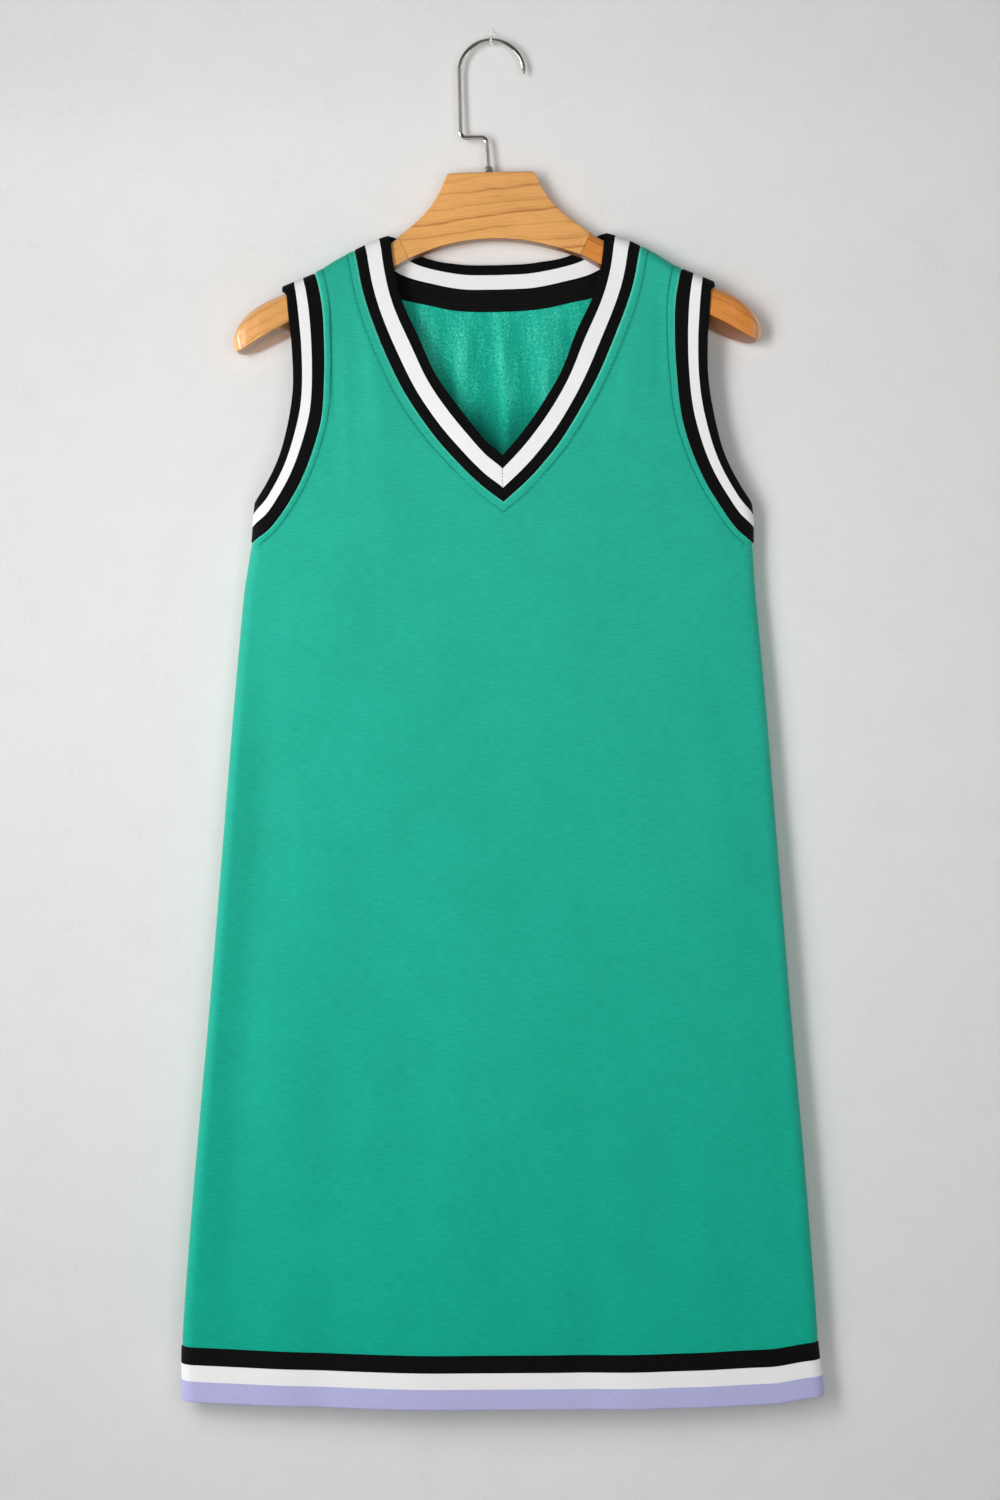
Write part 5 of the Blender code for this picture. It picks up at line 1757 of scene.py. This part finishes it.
def build_collar():
    """The small collar on the wood, with a groove and rounded shoulders."""
    full = bpy.context.scene.hanger_settings.collar_radius
    corners = circle(COLLAR_SIDES)
    rings = []
    for share, rise in COLLAR_SHAPE:
        radius, z = full * share, BOARD_TOP_Z + COLLAR_LIFT + rise * MM
        rings.append([(STEM_X + radius * cosine, radius * sine, z) for cosine, sine in corners])
    collar = loft("hook_collar_turned", rings, "collar_nickel")
    return stand_for(collar, "hook_collar")


# ---------------------------------------------------------------- studio


def stage_mesh(name, points, faces, finish):
    made = smooth_mesh(name, points, faces, (finish_for(finish),))
    return made


def show_one_side(made):
    """Lets a painted face be seen from its front only."""
    facing = made.nodes.new("ShaderNodeNewGeometry")
    clear = made.nodes.new("ShaderNodeBsdfTransparent")
    mix = made.nodes.new("ShaderNodeMixShader")
    made.links.new(facing.outputs["Backfacing"], mix.inputs[0])
    made.links.new(made.shader.outputs["BSDF"], mix.inputs[1])
    made.links.new(clear.outputs["BSDF"], mix.inputs[2])
    made.links.new(mix.outputs["Shader"], made.nodes["Material Output"].inputs["Surface"])


def wall_at(z):
    """Where the wall is at a height: it bows a little away from the hanger and the skirt."""
    settings = bpy.context.scene.studio_settings
    hanger = settings.wall_bow * float(ease((HANGER_BOW_Z - z) / HANGER_BOW_FADE))
    skirt = settings.skirt_bow * float(ease((SKIRT_BOW_Z - z) / SKIRT_BOW_FADE))
    return settings.wall_y + hanger + skirt


def build_backdrop():
    """The wall and the floor, and the clear loop that the hook hangs in."""
    heights = (WALL_LOW, *BOW_HEIGHTS, WALL_HIGH)
    wall = [(x, wall_at(z), z) for z in heights for x in (-WALL_REACH, WALL_REACH)]
    r, c = quad_grid(len(heights), 2)
    stage_mesh("studio_wall", wall, r * 2 + c, "wall_paint").visible_shadow = False
    edges = ((-1, FLOOR_NEAR), (1, FLOOR_NEAR), (1, wall_at(WALL_LOW)), (-1, wall_at(WALL_LOW)))
    floor = [(half * WALL_REACH, y, WALL_LOW) for half, y in edges]
    stage_mesh("studio_floor", floor, [(0, 1, 2, 3)], "wall_paint")
    far = wall_at(0.0)
    loop = [(y * MM, z * MM) for y, z in LOOP_MIDDLE]
    path = smooth_line([(far, LOOP_START_Z), *loop, (far, LOOP_END_Z)], LOOP_STATIONS)
    tangent = unit_rows(np.gradient(path, axis=0))
    rings = []
    for (y, z), (ty, tz) in zip(path, tangent):
        ring = []
        for cosine, sine in circle(LOOP_SIDES):
            out = LOOP_THICKNESS / 2 * sine
            ring.append((LOOP_WIDTH / 2 * cosine, y - out * tz, z + out * ty))
        rings.append(ring)
    r, c = quad_grid(len(rings), LOOP_SIDES + 1)
    points = [point for ring in rings for point in ring]
    stage_mesh("studio_clear_loop", points, r * LOOP_SIDES + c % LOOP_SIDES, "clear_plastic")


def build_lights():
    """The lamps, of which those behind the dress leave the wall and floor out, and the sky."""
    settings = bpy.context.scene.studio_settings
    unlit = bpy.data.collections.new("not_lit_from_behind")
    for stage in ("studio_wall", "studio_floor"):
        unlit.objects.link(bpy.data.objects[stage])
    for row in unlit.collection_objects:
        row.light_linking.link_state = "EXCLUDE"
    for lamp in LAMPS:
        light = bpy.data.lights.new(lamp.name, "AREA")
        light.shape = "RECTANGLE"
        light.size, light.size_y = lamp.size
        light.energy = getattr(settings, lamp.power) * lamp.share
        made = bpy.data.objects.new(lamp.name, light)
        made.location = lamp.place
        facing = Vector(lamp.target) - Vector(lamp.place)
        made.rotation_euler = facing.to_track_quat("-Z", "Y").to_euler()
        made.visible_camera = False
        made.visible_glossy = lamp.name not in NOT_GLOSSY
        made.visible_diffuse = lamp.power != "gloss_power"
        if lamp.name in NOT_ON_WALL:
            made.light_linking.receiver_collection = unlit
        bpy.context.scene.collection.objects.link(made)
    world = bpy.data.worlds.new("studio")
    bpy.context.scene.world = world
    world.use_nodes = True
    background = world.node_tree.nodes["Background"]
    background.inputs["Color"].default_value = (0.99, 0.995, 1.0, 1.0)
    background.inputs["Strength"].default_value = settings.sky_strength


def build_camera():
    settings = bpy.context.scene.studio_settings
    camera = bpy.data.cameras.new("camera")
    camera.sensor_width = 36.0
    camera.lens = camera.sensor_width * settings.camera_distance / settings.frame_height
    camera.clip_start = 0.05
    made = bpy.data.objects.new("camera", camera)
    made.location = (CAMERA_X, -settings.camera_distance, CAMERA_Z)
    made.rotation_euler = (math.pi / 2, 0.0, 0.0)
    bpy.context.scene.collection.objects.link(made)
    bpy.context.scene.camera = made
    bpy.context.scene.view_settings.view_transform = "Standard"


# ---------------------------------------------------------------- operators


class DRESS_OT_panels(bpy.types.Operator):
    """Build the front and back panels of French terry"""

    bl_idname = "dress.panels"
    bl_label = "Panels"

    def execute(self, context):
        front = build_panel("front_panel_cloth", FRONT)
        back = build_panel("back_panel_cloth", BACK)
        declare(front, "front_panel")
        declare(back, "back_panel")
        return {"FINISHED"}


class DRESS_OT_bands(bpy.types.Operator):
    """Build the striped rib bands of the neck, armholes and hem"""

    bl_idname = "dress.bands"
    bl_label = "Rib Bands"

    def execute(self, context):
        wall = context.scene.dress_settings.band_wall
        trim = ("black_rib", "white_rib", "black_rib")
        loops = [whole_loop(half) for half in half_loops(neck_edges)]
        neck = build_band("neckband_rib", *loops, NECK_STRIPES, trim, wall, mitre=True)
        declare(neck, "neckband")
        loops = arm_loops()
        right = build_band("armband_right_rib", *loops, ARM_STRIPES, trim, wall, flare=ARM_FLARE)
        loops = [mirrored(loop) for loop in loops]
        left = build_band("armband_left_rib", *loops, ARM_STRIPES, trim, wall, flare=ARM_FLARE)
        for band, node in ((left, "armband_left"), (right, "armband_right")):
            declare(band, node)
        stripes = ("lilac_rib", "white_hem_rib", "black_rib")
        hem = build_band("hem_band_rib", *hem_loops(), HEM_STRIPES, stripes, wall)
        declare(hem, "hem_band")
        return {"FINISHED"}


class DRESS_OT_neck_tape(bpy.types.Operator):
    """Build the tape inside the back of the neck"""

    bl_idname = "dress.neck_tape"
    bl_label = "Neck Tape"

    def execute(self, context):
        stitches = build_tape_stitches()
        tape = build_tape()
        declare(tape, "neck_tape")
        return {"FINISHED"}


class DRESS_OT_stitching(bpy.types.Operator):
    """Sew the topstitching round the neck and armholes, and the mitre's seam"""

    bl_idname = "dress.stitching"
    bl_label = "Stitching"

    def execute(self, context):
        settings = context.scene.dress_settings
        build_topstitching("neck_topstitching", neck_edges, settings.neck_stitch_distance, (1, -1))
        for name, half in (("right", 1), ("left", -1)):
            name = f"armhole_topstitching_{name}"
            build_topstitching(name, arm_edges, settings.arm_stitch_distance, (half,))
        build_mitre_thread()
        return {"FINISHED"}


class DRESS_OT_hanger(bpy.types.Operator):
    """Build the hanger: its board, its arms, the wire hook and its collar"""

    bl_idname = "dress.hanger"
    bl_label = "Hanger"

    def execute(self, context):
        build_board()
        build_arm(1, "right")
        build_arm(-1, "left")
        build_hook()
        build_collar()
        return {"FINISHED"}


class DRESS_OT_studio(bpy.types.Operator):
    """Set up the wall, the floor, the lights and the camera"""

    bl_idname = "dress.studio"
    bl_label = "Studio"

    def execute(self, context):
        build_backdrop()
        build_lights()
        build_camera()
        return {"FINISHED"}


class DRESS_PT_sidebar(bpy.types.Panel):
    """Lists the pieces of the dress and their settings"""

    bl_label = "Shift Dress"
    bl_idname = "DRESS_PT_sidebar"
    bl_space_type = "VIEW_3D"
    bl_region_type = "UI"
    bl_category = "Dress"

    def draw(self, context):
        layout = self.layout
        for operator in OPERATORS:
            layout.operator(operator.bl_idname)
        for name, kind in SETTINGS:
            box = layout.box()
            for setting in kind.__annotations__:
                box.prop(getattr(context.scene, name), setting)


SETTINGS = (
    ("dress_settings", DressSettings),
    ("hanger_settings", HangerSettings),
    ("studio_settings", StudioSettings),
)
OPERATORS = (
    DRESS_OT_studio,
    DRESS_OT_panels,
    DRESS_OT_bands,
    DRESS_OT_neck_tape,
    DRESS_OT_stitching,
    DRESS_OT_hanger,
)
CLASSES = tuple(group for _, group in SETTINGS) + OPERATORS + (DRESS_PT_sidebar,)


def register():
    for cls in CLASSES:
        bpy.utils.register_class(cls)
    for name, group in SETTINGS:
        setattr(bpy.types.Scene, name, bpy.props.PointerProperty(type=group))


def unregister():
    for name, _ in SETTINGS:
        delattr(bpy.types.Scene, name)
    for cls in reversed(CLASSES):
        bpy.utils.unregister_class(cls)


def main():
    for old in list(bpy.data.objects):
        if old.type in ("CAMERA", "LIGHT") or old.name == "Cube":
            bpy.data.objects.remove(old)
    register()
    bpy.ops.dress.studio()
    bpy.ops.dress.panels()
    bpy.ops.dress.bands()
    bpy.ops.dress.neck_tape()
    bpy.ops.dress.stitching()
    bpy.ops.dress.hanger()


if __name__ == "__main__":
    main()
